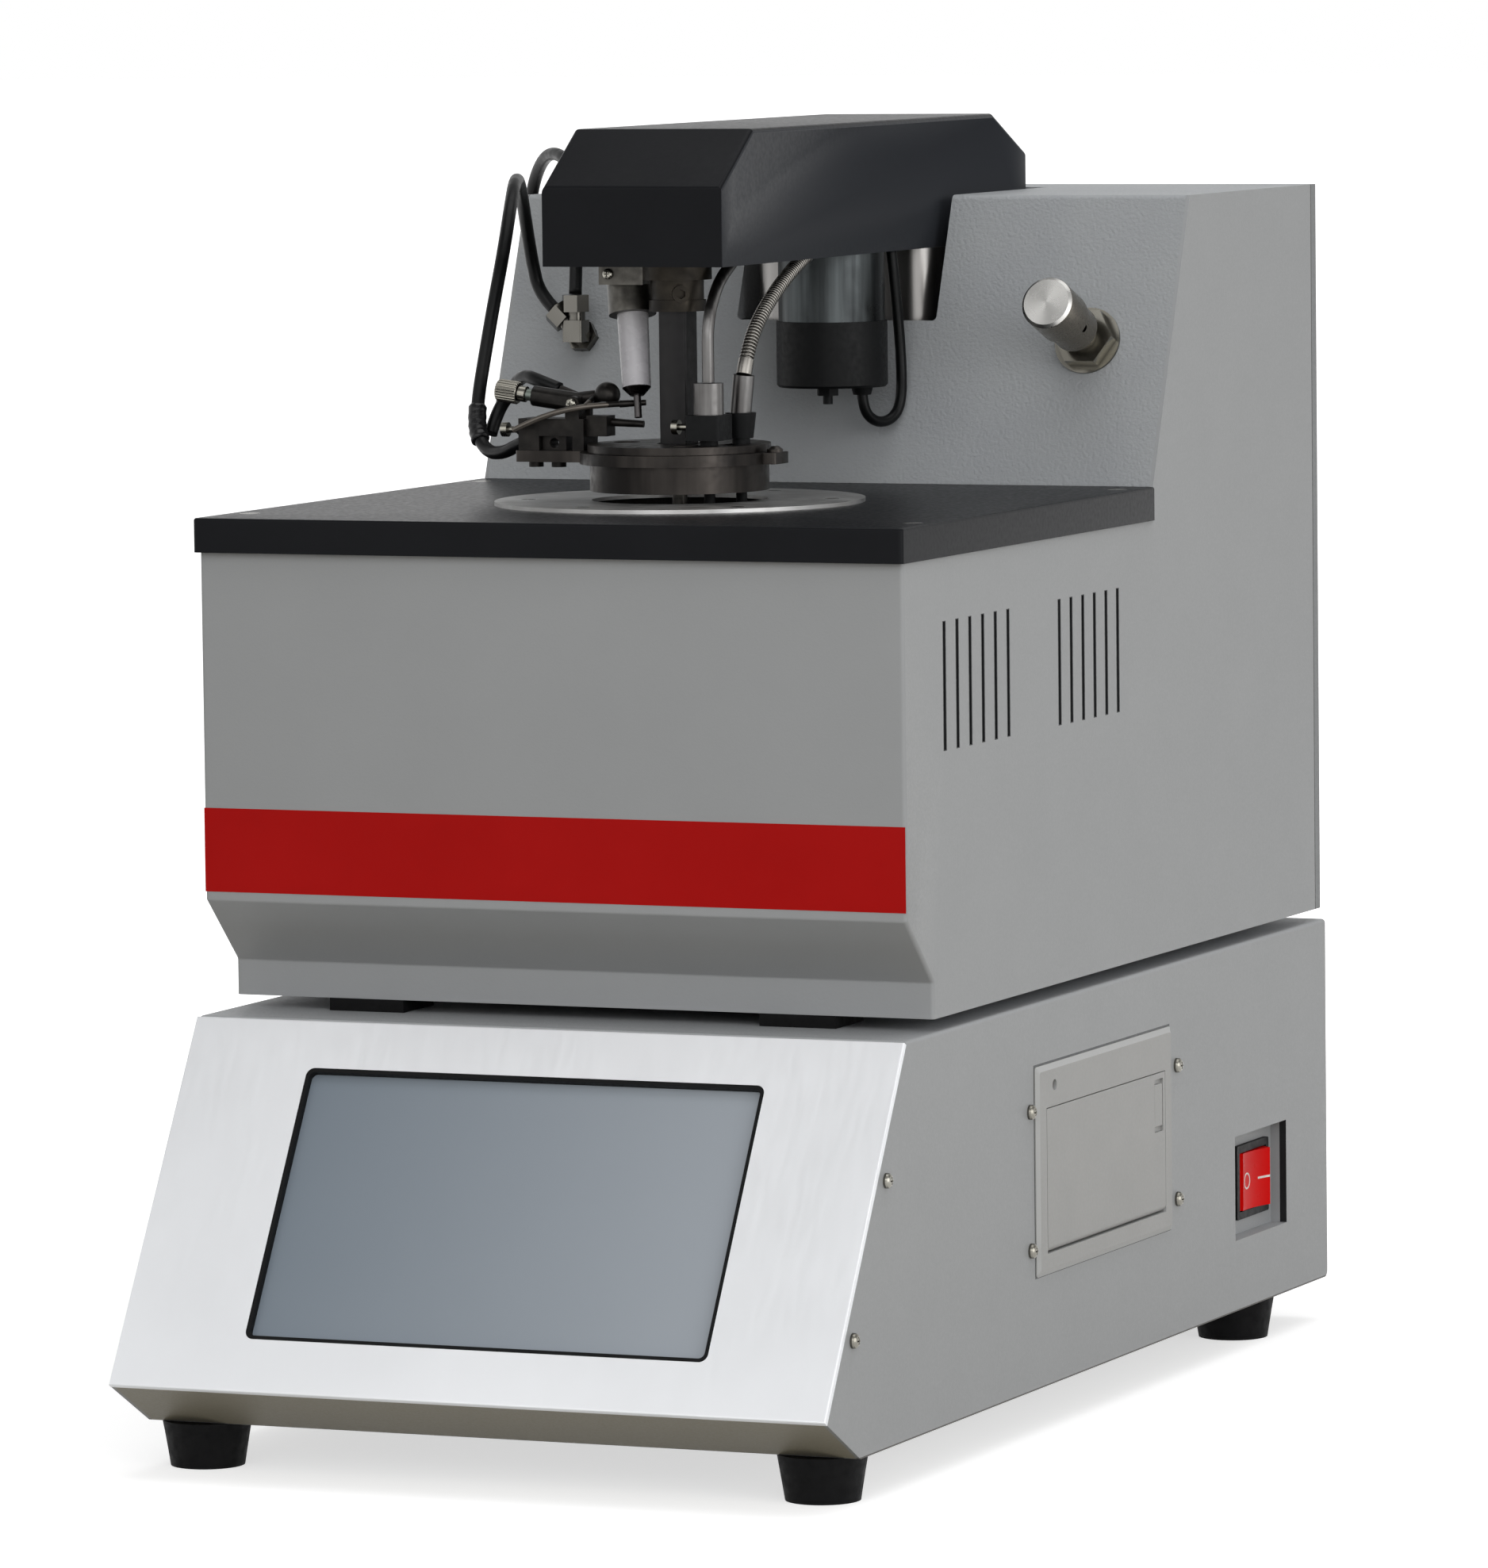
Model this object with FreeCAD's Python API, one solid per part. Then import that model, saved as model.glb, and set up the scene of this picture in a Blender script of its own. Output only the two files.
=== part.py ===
import FreeCAD, Part
import math
import os

os.makedirs("parts", exist_ok=True)

# Closed-cup flash point tester, in millimetres, +Z up. It is drawn with X across the bench from the
# middle of the instrument, Y back from the foremost edge of its console and Z up from the bench.
# Each node is moved at the end so that the origin lies under the middle of the whole instrument.

# Stock and general clearances
sheet = 1.5
bend_radius = 1.6
panel_edge_radius = 0.7
cover_corner_radius = 3.0
overrun = 2.0
seat_gap = 0.3
shaft_gap = 0.1
cord_trim_share = 0.45

# Console, the lower housing with the screen
console_width = 300.0
console_depth = 554.0
console_height = 153.0
foot_height = 18.0
panel_lean = 81.9
panel_drop = 134.3
panel_foot_set = 34.3
panel_thick = 2.5

# Upper housing, its black work plate and the tower behind it
unit_inset = 1.25
unit_gap = 5.0
unit_lip_y = 115.4
unit_lip_height = 14.0
unit_front_y = 88.7
unit_chamfer_height = 26.0
unit_wall_height = 177.0
rear_panel_thick = 2.5
plate_overhang = 1.25
plate_lip = 3.7
plate_thick = 13.5
tower_depth = 198.0
tower_height = 116.5
tower_lean = 45.0
slot_width = 89.0
slot_floor_rise = 65.5
slot_back_wall = 46.0

# Axis of the cup and its lid, and the height of the lid above the work plate
cup_x = 0.0
cup_share = 0.49262
lid_clearance = 5.2
arm_rise = 90.0
shaft_radius = 3.0

# Lifting travel of the arm
lift_travel = 85.0

console_bottom = foot_height
console_top = console_bottom + console_height
console_half = console_width / 2
unit_bottom = console_top + unit_gap
unit_width = console_width - 2 * unit_inset
unit_half = unit_width / 2
plate_width = unit_width + 2 * plate_overhang
plate_front_y = unit_front_y - plate_lip
tower_foot_y = console_depth - tower_depth
slot_back_y = console_depth - slot_back_wall
cup_y = plate_front_y + cup_share * (tower_foot_y - plate_front_y)
plate_bottom = unit_bottom + unit_wall_height
plate_top = plate_bottom + plate_thick
tower_top = plate_top + tower_height
unit_rear_y = console_depth - rear_panel_thick
lid_bottom = plate_top + lid_clearance
arm_bottom = lid_bottom + arm_rise
screw_head_height = 2.0
screw_head_radius = 2.9
head_side_share = 0.4
head_crown_share = 0.6
screw_radius = 1.5
overall_depth = console_depth + screw_head_height
origin_y = overall_depth / 2

UP = FreeCAD.Vector(0, 0, 1)
ACROSS = FreeCAD.Vector(1, 0, 0)
BACK = FreeCAD.Vector(0, 1, 0)


def vec(x, y, z):
    return FreeCAD.Vector(x, y, z)


def block(x0, x1, y0, y1, z0, z1):
    return Part.makeBox(x1 - x0, y1 - y0, z1 - z0, vec(x0, y0, z0))


def rod(start, end, radius):
    along = end - start
    return Part.makeCylinder(radius, along.Length, start, along)


def cone(start, end, radius_start, radius_end):
    along = end - start
    return Part.makeCone(radius_start, radius_end, along.Length, start, along)


def outline(points):
    return Part.Face(Part.makePolygon(points + [points[0]]))


def side_prism(points, x0, x1):
    face = outline([vec(x0, y, z) for y, z in points])
    return face.extrude(vec(x1 - x0, 0, 0))


def plan_prism(points, z0, z1):
    face = outline([vec(x, y, z0) for x, y in points])
    return face.extrude(vec(0, 0, z1 - z0))


def folded_sheet(points, x0, x1, thick):
    wire = Part.makePolygon([vec(x0, y, z) for y, z in points + [points[0]]])
    walls = Part.Face(wire).cut(Part.Face(wire.makeOffset2D(-thick)))
    return walls.extrude(vec(x1 - x0, 0, 0))


def turned(profile, x, y):
    face = outline([vec(x + r, y, z) for r, z in profile])
    return face.revolve(vec(x, y, 0), UP, 360)


def turned_along(profile, start, direction):
    shape = turned(profile, 0, 0)
    turn = FreeCAD.Rotation(UP, direction)
    shape.Placement = FreeCAD.Placement(start, turn)
    return shape


def hexagon_bar(start, direction, length, across_flats):
    corner = across_flats / math.sqrt(3)
    points = []
    for k in range(6):
        points.append((corner * math.cos(k * math.pi / 3), corner * math.sin(k * math.pi / 3)))
    bar = plan_prism(points, 0, length)
    bar.Placement = FreeCAD.Placement(start, FreeCAD.Rotation(UP, direction))
    return bar


def edges_along(shape, direction):
    found = []
    for edge in shape.Edges:
        if len(edge.Vertexes) == 2:
            line = edge.Vertexes[1].Point - edge.Vertexes[0].Point
            if line.Length > 0 and abs(line.normalize().dot(direction)) > 0.999:
                found.append(edge)
    return found


def rounded(shape, direction, radius):
    return shape.makeFillet(radius, edges_along(shape, direction))


def edges_through(shape, points, half):
    # the edges of a side prism that run along the profile between these points, and across at them
    found = []
    for edge in shape.Edges:
        middle = edge.CenterOfMass
        for (y0, z0), (y1, z1) in zip(points, points[1:]):
            on_run = math.hypot(middle.y - (y0 + y1) / 2, middle.z - (z0 + z1) / 2) < shaft_gap
            if on_run and abs(abs(middle.x) - half) < shaft_gap:
                found.append(edge)
        for y0, z0 in points[1:-1]:
            if math.hypot(middle.y - y0, middle.z - z0) < shaft_gap and abs(middle.x) < shaft_gap:
                found.append(edge)
    return found


def soft_block(x0, x1, y0, y1, z0, z1, direction, radius):
    return rounded(block(x0, x1, y0, y1, z0, z1), direction, radius)


def cord_path(points):
    # straight runs joined by the largest tangent arcs that the two runs of each corner allow
    parts = []
    radii = []
    start = points[0]
    for before, corner, after in zip(points, points[1:], points[2:]):
        arriving = (corner - before)
        leaving = (after - corner)
        shorter = min(arriving.Length, leaving.Length)
        arriving.normalize()
        leaving.normalize()
        half_turn = arriving.getAngle(leaving) / 2
        trim = cord_trim_share * shorter
        radius = trim / math.tan(half_turn)
        radii.append(radius)
        first = corner - arriving * trim
        last = corner + leaving * trim
        inward = leaving - arriving
        inward.normalize()
        centre = corner + inward * (radius / math.cos(half_turn))
        middle = centre - inward * radius
        parts.append(Part.LineSegment(start, first).toShape())
        parts.append(Part.Arc(first, middle, last).toShape())
        start = last
    parts.append(Part.LineSegment(start, points[-1]).toShape())
    return Part.Wire(parts), radii


def cord_tube(name, points, radius):
    wire, radii = cord_path(points)
    along = points[1] - points[0]
    section = Part.Wire([Part.makeCircle(radius, points[0], along)])
    tube = Part.Wire(wire.Edges).makePipeShell([section], True, False)
    ideal = math.pi * radius * radius * wire.Length
    print(name, "length", round(wire.Length, 1), "volume ratio", round(tube.Volume / ideal, 4))
    print(name, "radii", [round(value, 1) for value in radii])
    return tube


def save(node, shapes):
    group = shapes if isinstance(shapes, list) else [shapes]
    solids = []
    for shape in group:
        solids.extend(shape.removeSplitter().Solids)
    whole = solids[0] if len(solids) == 1 else Part.makeCompound(solids)
    whole = whole.translated(vec(0, -origin_y, 0))
    whole.exportStep("parts/" + node + ".step")
    print(node, len(solids), "solids", round(whole.Volume / 1000, 1), "cm3", whole.isValid())


# Frame of the slanting front panel: X across, Y up the slope, Z straight out of its face
panel_angle = math.degrees(math.atan2(panel_drop, panel_lean))
panel_length = math.hypot(panel_drop, panel_lean)
panel_foot_z = console_top - panel_drop


def on_panel(shape):
    turn = FreeCAD.Rotation(ACROSS, panel_angle)
    moved = shape.copy()
    moved.Placement = FreeCAD.Placement(vec(0, 0, panel_foot_z), turn)
    return moved


def panel_zone(depth):
    return on_panel(block(-console_width, console_width, -panel_length, 2 * panel_length, -depth, panel_length))


def console_profile():
    return [
        (panel_foot_set, console_bottom),
        (console_depth, console_bottom),
        (console_depth, console_top),
        (panel_lean, console_top),
        (0, panel_foot_z),
    ]


# Window in the front panel and the touch screen behind it
screen_width = 194.0
screen_height = 115.0
screen_foot = 22.0
screen_corner = 3.5
screen_gap = 0.5
glass_thick = 1.8
module_margin = 9.0
module_depth = 10.0

# Window of the power switch in the right side, and the plate let in behind it
switch_window_back = 50.0
switch_window_width = 62.0
switch_window_y = console_depth - switch_window_back - switch_window_width
switch_window_z = 47.5
switch_window_height = 43.5
switch_recess = 7.0
switch_plate_margin = 6.0

# Printer let into the right side
printer_share = 0.3899
printer_y = printer_share * console_depth
printer_width = 150.0
printer_z = 62.4
printer_height = 83.5
printer_rim = 9.0
printer_rim_foot = 8.5
printer_proud = 1.6

# Vent slots in both sides of the upper housing
vent_rise = 102.5
vent_z = unit_bottom + vent_rise
vent_height = 49.5
vent_slot = 2.2
vent_count = 6
vent_group_shares = ((0.1489, 0.2563), (0.6023, 0.248))


def printer_hole(shrink):
    return block(
        console_half - sheet - overrun,
        console_half + overrun,
        printer_y + printer_rim / 2 + shrink,
        printer_y + printer_width - printer_rim / 2 - shrink,
        printer_z + printer_rim_foot / 2 + shrink,
        printer_z + printer_height - printer_rim / 2 - shrink,
    )


def build_console_cover():
    profile = console_profile()
    cover = side_prism(profile, -console_half, console_half)
    heel = [(console_height, console_bottom), (console_depth, console_bottom), (console_depth, console_depth)]
    cover = cover.makeFillet(cover_corner_radius, edges_through(cover, heel, console_depth))
    cover = cover.makeFillet(bend_radius, edges_through(cover, [(console_depth, console_top), (panel_lean, console_top)], console_half))
    inside = side_prism(
        [
            (-console_depth, -console_height),
            (console_depth + overrun, -console_height),
            (console_depth + overrun, console_top - sheet),
            (-console_depth, console_top - sheet),
        ],
        -console_half + sheet,
        console_half - sheet,
    )
    cover = cover.cut(inside).cut(panel_zone(panel_thick))
    window = block(
        console_half - sheet - overrun,
        console_half + overrun,
        switch_window_y,
        switch_window_y + switch_window_width,
        switch_window_z,
        switch_window_z + switch_window_height,
    )
    cover = cover.cut(window).cut(printer_hole(0))
    for y, z in panel_screw_places():
        cover = cover.cut(rod(vec(-console_width, y, z), vec(console_width, y, z), screw_radius))
    for y, z in printer_screw_places():
        cover = cover.cut(rod(vec(0, y, z), vec(console_width, y, z), screw_radius))
    recess_out = block(
        console_half - sheet - switch_recess,
        console_half - sheet,
        switch_window_y - switch_plate_margin,
        switch_window_y + switch_window_width + sheet,
        switch_window_z - sheet,
        switch_window_z + switch_window_height + sheet,
    )
    recess_in = block(
        console_half - switch_recess,
        console_half,
        switch_window_y - switch_plate_margin + sheet,
        switch_window_y + switch_window_width,
        switch_window_z,
        switch_window_z + switch_window_height,
    )
    recess = recess_out.cut(recess_in).cut(switch_cutout())
    save("console_cover", cover.fuse(recess))


# Power switch: a large rocker that swings about an upright pin
rocker_length = 31.0
rocker_height = 24.0
switch_rim = 3.5
switch_rim_thick = 2.0
switch_body_depth = 27.0
switch_middle_set = 35.0
switch_middle_y = switch_window_y + switch_middle_set
rocker_travel = 14.0
rocker_proud = 4.5
rocker_pivot_depth = 5.0
switch_body_wall = 2.0


def switch_middle_z():
    return switch_window_z + switch_window_height / 2


def switch_face_x():
    return console_half - switch_recess


def switch_cutout():
    half_length = rocker_length / 2 + switch_body_wall
    half_height = rocker_height / 2 + switch_body_wall
    return block(
        switch_face_x() - switch_body_depth,
        switch_face_x() + overrun,
        switch_middle_y - half_length,
        switch_middle_y + half_length,
        switch_middle_z() - half_height,
        switch_middle_z() + half_height,
    )


def build_console_base():
    profile = console_profile()
    half = console_half - sheet
    tray = folded_sheet(profile, -half, half, sheet)
    tray = tray.cut(panel_zone(panel_thick))
    tray = tray.cut(block(-console_width, console_width, -sheet, console_depth + overrun, console_top - sheet, console_top + overrun))
    inlet_hole = block(
        inlet_x - inlet_body_width / 2,
        inlet_x + inlet_body_width / 2,
        console_depth - sheet - overrun,
        console_depth + overrun,
        inlet_z - inlet_body_height / 2,
        inlet_z + inlet_body_height / 2,
    )
    save("console_base", tray.cut(inlet_hole))


# Appliance inlet with its fuse drawer on the rear wall of the console
inlet_inset_x = 55.0
inlet_x = console_half - inlet_inset_x
inlet_z = 70.0
inlet_body_width = 28.0
inlet_body_height = 32.0
inlet_body_depth = 30.0
inlet_rim = 4.0
inlet_rim_thick = 1.8
inlet_ear = 9.0
inlet_mouth_width = 22.0
inlet_mouth_height = 15.0
inlet_mouth_depth = 17.0
inlet_mouth_rise = 3.5
inlet_pin_width = 2.0
inlet_pin_height = 4.0
inlet_pin_pitch = 7.0
inlet_drawer_height = 8.0
inlet_drawer_rise = 1.2
inlet_drawer_proud_share = 0.1


def build_power_inlet():
    rear = console_depth
    half_w = inlet_body_width / 2
    half_h = inlet_body_height / 2
    body = block(
        inlet_x - half_w,
        inlet_x + half_w,
        rear - inlet_body_depth,
        rear,
        inlet_z - half_h,
        inlet_z + half_h,
    )
    rim = soft_block(
        inlet_x - half_w - inlet_ear,
        inlet_x + half_w + inlet_ear,
        rear,
        rear + inlet_rim_thick,
        inlet_z - half_h - inlet_rim / 2,
        inlet_z + half_h + inlet_rim / 2,
        BACK,
        inlet_rim,
    )
    mouth_z = inlet_z + inlet_mouth_rise
    mouth = block(
        inlet_x - inlet_mouth_width / 2,
        inlet_x + inlet_mouth_width / 2,
        rear + inlet_rim_thick - inlet_mouth_depth,
        rear + inlet_rim_thick + overrun,
        mouth_z - inlet_mouth_height / 2,
        mouth_z + inlet_mouth_height / 2,
    )
    drawer_slot = block(
        inlet_x - inlet_mouth_width / 2,
        inlet_x + inlet_mouth_width / 2,
        rear,
        rear + inlet_rim_thick + overrun,
        inlet_z - half_h + inlet_drawer_rise,
        inlet_z - half_h + inlet_drawer_rise + inlet_drawer_height,
    )
    shell = body.fuse(rim).cut(mouth).cut(drawer_slot)
    for side in (-1, 1):
        hole_x = inlet_x + side * (half_w + inlet_ear / 2)
        hole = rod(vec(hole_x, rear - overrun, inlet_z), vec(hole_x, rear + inlet_rim_thick + overrun, inlet_z), screw_radius)
        shell = shell.cut(hole)
    pins = []
    for column, row in ((-1, 0), (0, 1), (1, 0)):
        pin_x = inlet_x + column * inlet_pin_pitch
        pin_z = mouth_z + row * inlet_pin_height - inlet_pin_height / 2
        pins.append(
            block(
                pin_x - inlet_pin_width / 2,
                pin_x + inlet_pin_width / 2,
                rear + inlet_rim_thick - inlet_mouth_depth,
                rear,
                pin_z - inlet_pin_height / 2,
                pin_z + inlet_pin_height / 2,
            )
        )
    drawer = block(
        inlet_x - inlet_mouth_width / 2,
        inlet_x + inlet_mouth_width / 2,
        rear,
        rear + inlet_rim_thick * (1 + inlet_drawer_proud_share),
        inlet_z - half_h + inlet_drawer_rise,
        inlet_z - half_h + inlet_drawer_rise + inlet_drawer_height,
    )
    save("power_inlet", [shell, drawer] + pins)


# Aluminium front panel with a flange behind each side, held by two screws a side
flange_depth = 14.0
flange_end_share = 0.06
panel_screw_shares = (0.24, 0.66)


def panel_screw_places():
    places = []
    for share in panel_screw_shares:
        local = on_panel(Part.Vertex(vec(0, share * panel_length, -panel_thick - flange_depth / 2)))
        places.append((local.Point.y, local.Point.z))
    return places


def build_front_panel():
    panel = block(-console_half, console_half, 0, panel_length, -panel_thick, 0)
    rim = [edge for edge in panel.Edges if edge.BoundBox.ZMin > -shaft_gap]
    panel = panel.makeFillet(panel_edge_radius, rim)
    for side in (-1, 1):
        outer = side * (console_half - sheet)
        inner = outer - side * panel_thick
        flange = block(
            min(outer, inner),
            max(outer, inner),
            flange_end_share * panel_length,
            (1 - flange_end_share) * panel_length,
            -panel_thick - flange_depth,
            -panel_thick,
        )
        panel = panel.fuse(flange)
    window = soft_block(
        -screen_width / 2,
        screen_width / 2,
        screen_foot,
        screen_foot + screen_height,
        -panel_thick - overrun,
        overrun,
        UP,
        screen_corner,
    )
    panel = on_panel(panel.cut(window))
    above = block(-console_width, console_width, -console_depth, console_depth, console_top, 2 * console_top)
    panel = panel.cut(above)
    for y, z in panel_screw_places():
        for side in (-1, 1):
            hole = rod(vec(side * (console_half - panel_lean), y, z), vec(side * (console_half + overrun), y, z), screw_radius)
            panel = panel.cut(hole)
    save("front_panel", panel)


def build_screen():
    rim_low = -panel_thick - screen_gap
    frame = soft_block(
        -screen_width / 2 - module_margin,
        screen_width / 2 + module_margin,
        screen_foot - module_margin,
        screen_foot + screen_height + module_margin,
        -panel_thick - module_depth,
        -panel_thick,
        UP,
        screen_corner,
    )
    pocket = block(
        -screen_width / 2 + screen_gap,
        screen_width / 2 - screen_gap,
        screen_foot + screen_gap,
        screen_foot + screen_height - screen_gap,
        rim_low - glass_thick,
        overrun,
    )
    glass = block(
        -screen_width / 2 + screen_gap,
        screen_width / 2 - screen_gap,
        screen_foot + screen_gap,
        screen_foot + screen_height - screen_gap,
        rim_low - glass_thick,
        rim_low,
    )
    save("screen_module", on_panel(frame.cut(pocket)))
    save("screen_glass", on_panel(glass))


# Electronics on the floor of the console
board_length = 170.0
board_width = 110.0
board_thick = 1.6
board_y = 64.0
post_height = 8.0
post_radius = 3.5
supply_length = 160.0
supply_width = 98.0
supply_height = 42.0
supply_back = 94.0
supply_y = console_depth - supply_back - supply_length
supply_x = -60.0
chip_height = 4.0
coil_radius = 11.0
coil_height = 16.0


def build_electronics():
    floor = console_bottom + sheet
    board_z = floor + post_height
    board = block(-board_length / 2, board_length / 2, board_y, board_y + board_width, board_z, board_z + board_thick)
    pieces = [board]
    for side in (-1, 1):
        for end in (0, 1):
            x = side * (board_length / 2 - 2 * post_radius)
            y = board_y + 2 * post_radius + end * (board_width - 4 * post_radius)
            pieces.append(rod(vec(x, y, floor), vec(x, y, board_z), post_radius))
    for column in range(3):
        x = (column - 1) * board_length / 4
        half = board_length / 20
        y = board_y + board_width / 2
        pieces.append(block(x - half, x + half, y - half, y + half, board_z + board_thick, board_z + board_thick + chip_height))
    save("control_board", pieces)
    case = block(
        supply_x - supply_width / 2,
        supply_x + supply_width / 2,
        supply_y,
        supply_y + supply_length,
        floor,
        floor + supply_height,
    )
    inner = block(
        supply_x - supply_width / 2 + sheet,
        supply_x + supply_width / 2 - sheet,
        supply_y - overrun,
        supply_y + supply_length - sheet,
        floor + sheet,
        floor + supply_height - sheet,
    )
    shell = case.cut(inner)
    coil = rod(vec(supply_x, supply_y + supply_length / 2, floor + sheet), vec(supply_x, supply_y + supply_length / 2, floor + sheet + coil_height), coil_radius)
    save("power_supply", [shell, coil])


# Rubber feet of the console and the thin pads under the upper housing
foot_top_radius = 17.5
foot_base_radius = 14.5
foot_inset_x = 20.0
foot_front_y = 45.0
foot_rear_set = 62.0
foot_rear_y = console_depth - foot_rear_set
foot_bore_radius = 6.0
foot_bore_depth = 7.0
pad_length = 32.0
pad_depth = 28.0
pad_inset_x = 58.0
pad_x = console_half - pad_inset_x
pad_front_set = 13.6
pad_front_y = unit_lip_y + pad_front_set
pad_rear_set = 64.0
pad_rear_y = console_depth - pad_rear_set
grommet_set = 108.0
grommet_y = console_depth - grommet_set
grommet_z = 448.3
grommet_radius = 6.0
grommet_neck_radius = 4.6
grommet_flange = 1.6


def build_feet():
    pieces = []
    for side in (-1, 1):
        for y in (foot_front_y, foot_rear_y):
            x = side * (console_half - foot_inset_x)
            profile = [
                (foot_bore_radius, 0),
                (foot_base_radius, 0),
                (foot_top_radius, foot_height),
                (0, foot_height),
                (0, foot_bore_depth),
                (foot_bore_radius, foot_bore_depth),
            ]
            pieces.append(turned(profile, x, y))
        for y in (pad_front_y, pad_rear_y):
            pieces.append(
                block(
                    side * pad_x - pad_length / 2,
                    side * pad_x + pad_length / 2,
                    y - pad_depth / 2,
                    y + pad_depth / 2,
                    console_top,
                    unit_bottom,
                )
            )
    grommet = turned_along(
        [
            (gas_hose_radius + 2 * seat_gap, -grommet_flange),
            (grommet_radius, -grommet_flange),
            (grommet_radius, 0),
            (grommet_neck_radius, 0),
            (grommet_neck_radius, sheet),
            (grommet_radius, sheet),
            (grommet_radius, sheet + grommet_flange),
            (gas_hose_radius + 2 * seat_gap, sheet + grommet_flange),
        ],
        vec(-unit_half, grommet_y, grommet_z),
        ACROSS,
    )
    pieces.append(grommet)
    save("rubber_parts", pieces)


# Printer: frame let into the side, tray behind it, door on a pin along its lower edge
door_clear = 0.4
door_thick = 2.4
door_pin_radius = 1.5
door_knuckle_radius = 2.6
tray_depth = 62.0
tray_wall = 2.0
latch_width = 12.0
latch_height = 24.0
latch_depth = 1.2
lamp_radius = 2.2
frame_flange = 4.0


def printer_door_span():
    y0 = printer_y + printer_rim + door_clear
    y1 = printer_y + printer_width - printer_rim - door_clear
    z0 = printer_z + printer_rim_foot + door_clear
    z1 = printer_z + printer_height - door_top_rim - door_clear
    return y0, y1, z0, z1


door_top_rim = 17.0
door_open_angle = 80.0


def door_pin():
    y0, y1, z0, z1 = printer_door_span()
    return console_half + printer_proud - door_knuckle_radius, z0 + door_knuckle_radius


def build_printer():
    y0, y1, z0, z1 = printer_door_span()
    outer_y = printer_y + printer_width
    outer_z = printer_z + printer_height
    inner_x = console_half - tray_depth
    frame = soft_block(console_half, console_half + printer_proud, printer_y, outer_y, printer_z, outer_z, ACROSS, 2 * door_thick)
    neck = printer_hole(shaft_gap).common(block(console_half - frame_flange, console_half, 0, console_depth, 0, console_top))
    frame = frame.fuse(neck)
    doorway = block(
        console_half - frame_flange - overrun,
        console_half + printer_proud + overrun,
        y0 - door_clear,
        y1 + door_clear,
        z0 - door_clear,
        z1 + door_clear,
    )
    frame = frame.cut(doorway)
    lamp_y = printer_y + 2 * printer_rim
    lamp_z = (z1 + outer_z) / 2
    frame = frame.cut(
        rod(
            vec(console_half - frame_flange - overrun, lamp_y, lamp_z),
            vec(console_half + printer_proud + overrun, lamp_y, lamp_z),
            lamp_radius,
        )
    )
    pin_x, pin_z = door_pin()
    for end in (0, 1):
        edge = y0 - door_clear if end == 0 else y1 + door_clear
        deep = -overrun if end == 0 else overrun
        tip = edge - deep
        frame = frame.fuse(rod(vec(pin_x, edge + deep, pin_z), vec(pin_x, tip, pin_z), door_pin_radius - shaft_gap))
    save("printer_frame", frame)

    back_x = console_half - frame_flange
    tray = block(inner_x, back_x, y0 - tray_wall, y1 + tray_wall, z0 - tray_wall, z1 + tray_wall)
    hollow = block(inner_x + tray_wall, back_x + overrun, y0, y1, z0, z1)
    tray = tray.cut(hollow)
    rib_x = paper_x - paper_radius - shaft_gap
    for end in (0, 1):
        face = y0 if end == 0 else y1
        into = 1 if end == 0 else -1
        stub_end = face + into * paper_pin_length
        tray = tray.fuse(rod(vec(paper_x, face, paper_z()), vec(paper_x, stub_end, paper_z()), paper_bore_radius - shaft_gap))
    save("printer_tray", tray)

    roll = rod(
        vec(paper_x, y0 + paper_side_gap, paper_z()),
        vec(paper_x, y1 - paper_side_gap, paper_z()),
        paper_radius,
    )
    bore = rod(vec(paper_x, y0, paper_z()), vec(paper_x, y1, paper_z()), paper_bore_radius)
    save("paper_roll", roll.cut(bore))

    door = block(console_half + printer_proud - door_thick, console_half + printer_proud, y0, y1, z0 + door_knuckle_radius, z1)
    knuckle = rod(vec(pin_x, y0, pin_z), vec(pin_x, y1, pin_z), door_knuckle_radius)
    door = door.fuse(knuckle)
    latch = block(
        console_half + printer_proud - latch_depth,
        console_half + printer_proud + overrun,
        y1 - latch_width,
        y1 - door_thick,
        z1 - latch_height,
        z1 - door_thick,
    )
    door = door.cut(latch)
    door = door.cut(rod(vec(pin_x, y0 - overrun, pin_z), vec(pin_x, y0 + 2 * overrun, pin_z), door_pin_radius))
    door = door.cut(rod(vec(pin_x, y1 - 2 * overrun, pin_z), vec(pin_x, y1 + overrun, pin_z), door_pin_radius))
    save("printer_door", door)


# Paper roll on two stub pins in the tray
paper_radius = 20.0
paper_bore_radius = 6.0
paper_pin_length = 8.0
paper_side_gap = 1.0
paper_inset_x = 38.0
paper_x = console_half - paper_inset_x


def paper_z():
    y0, y1, z0, z1 = printer_door_span()
    return (z0 + z1) / 2


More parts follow.
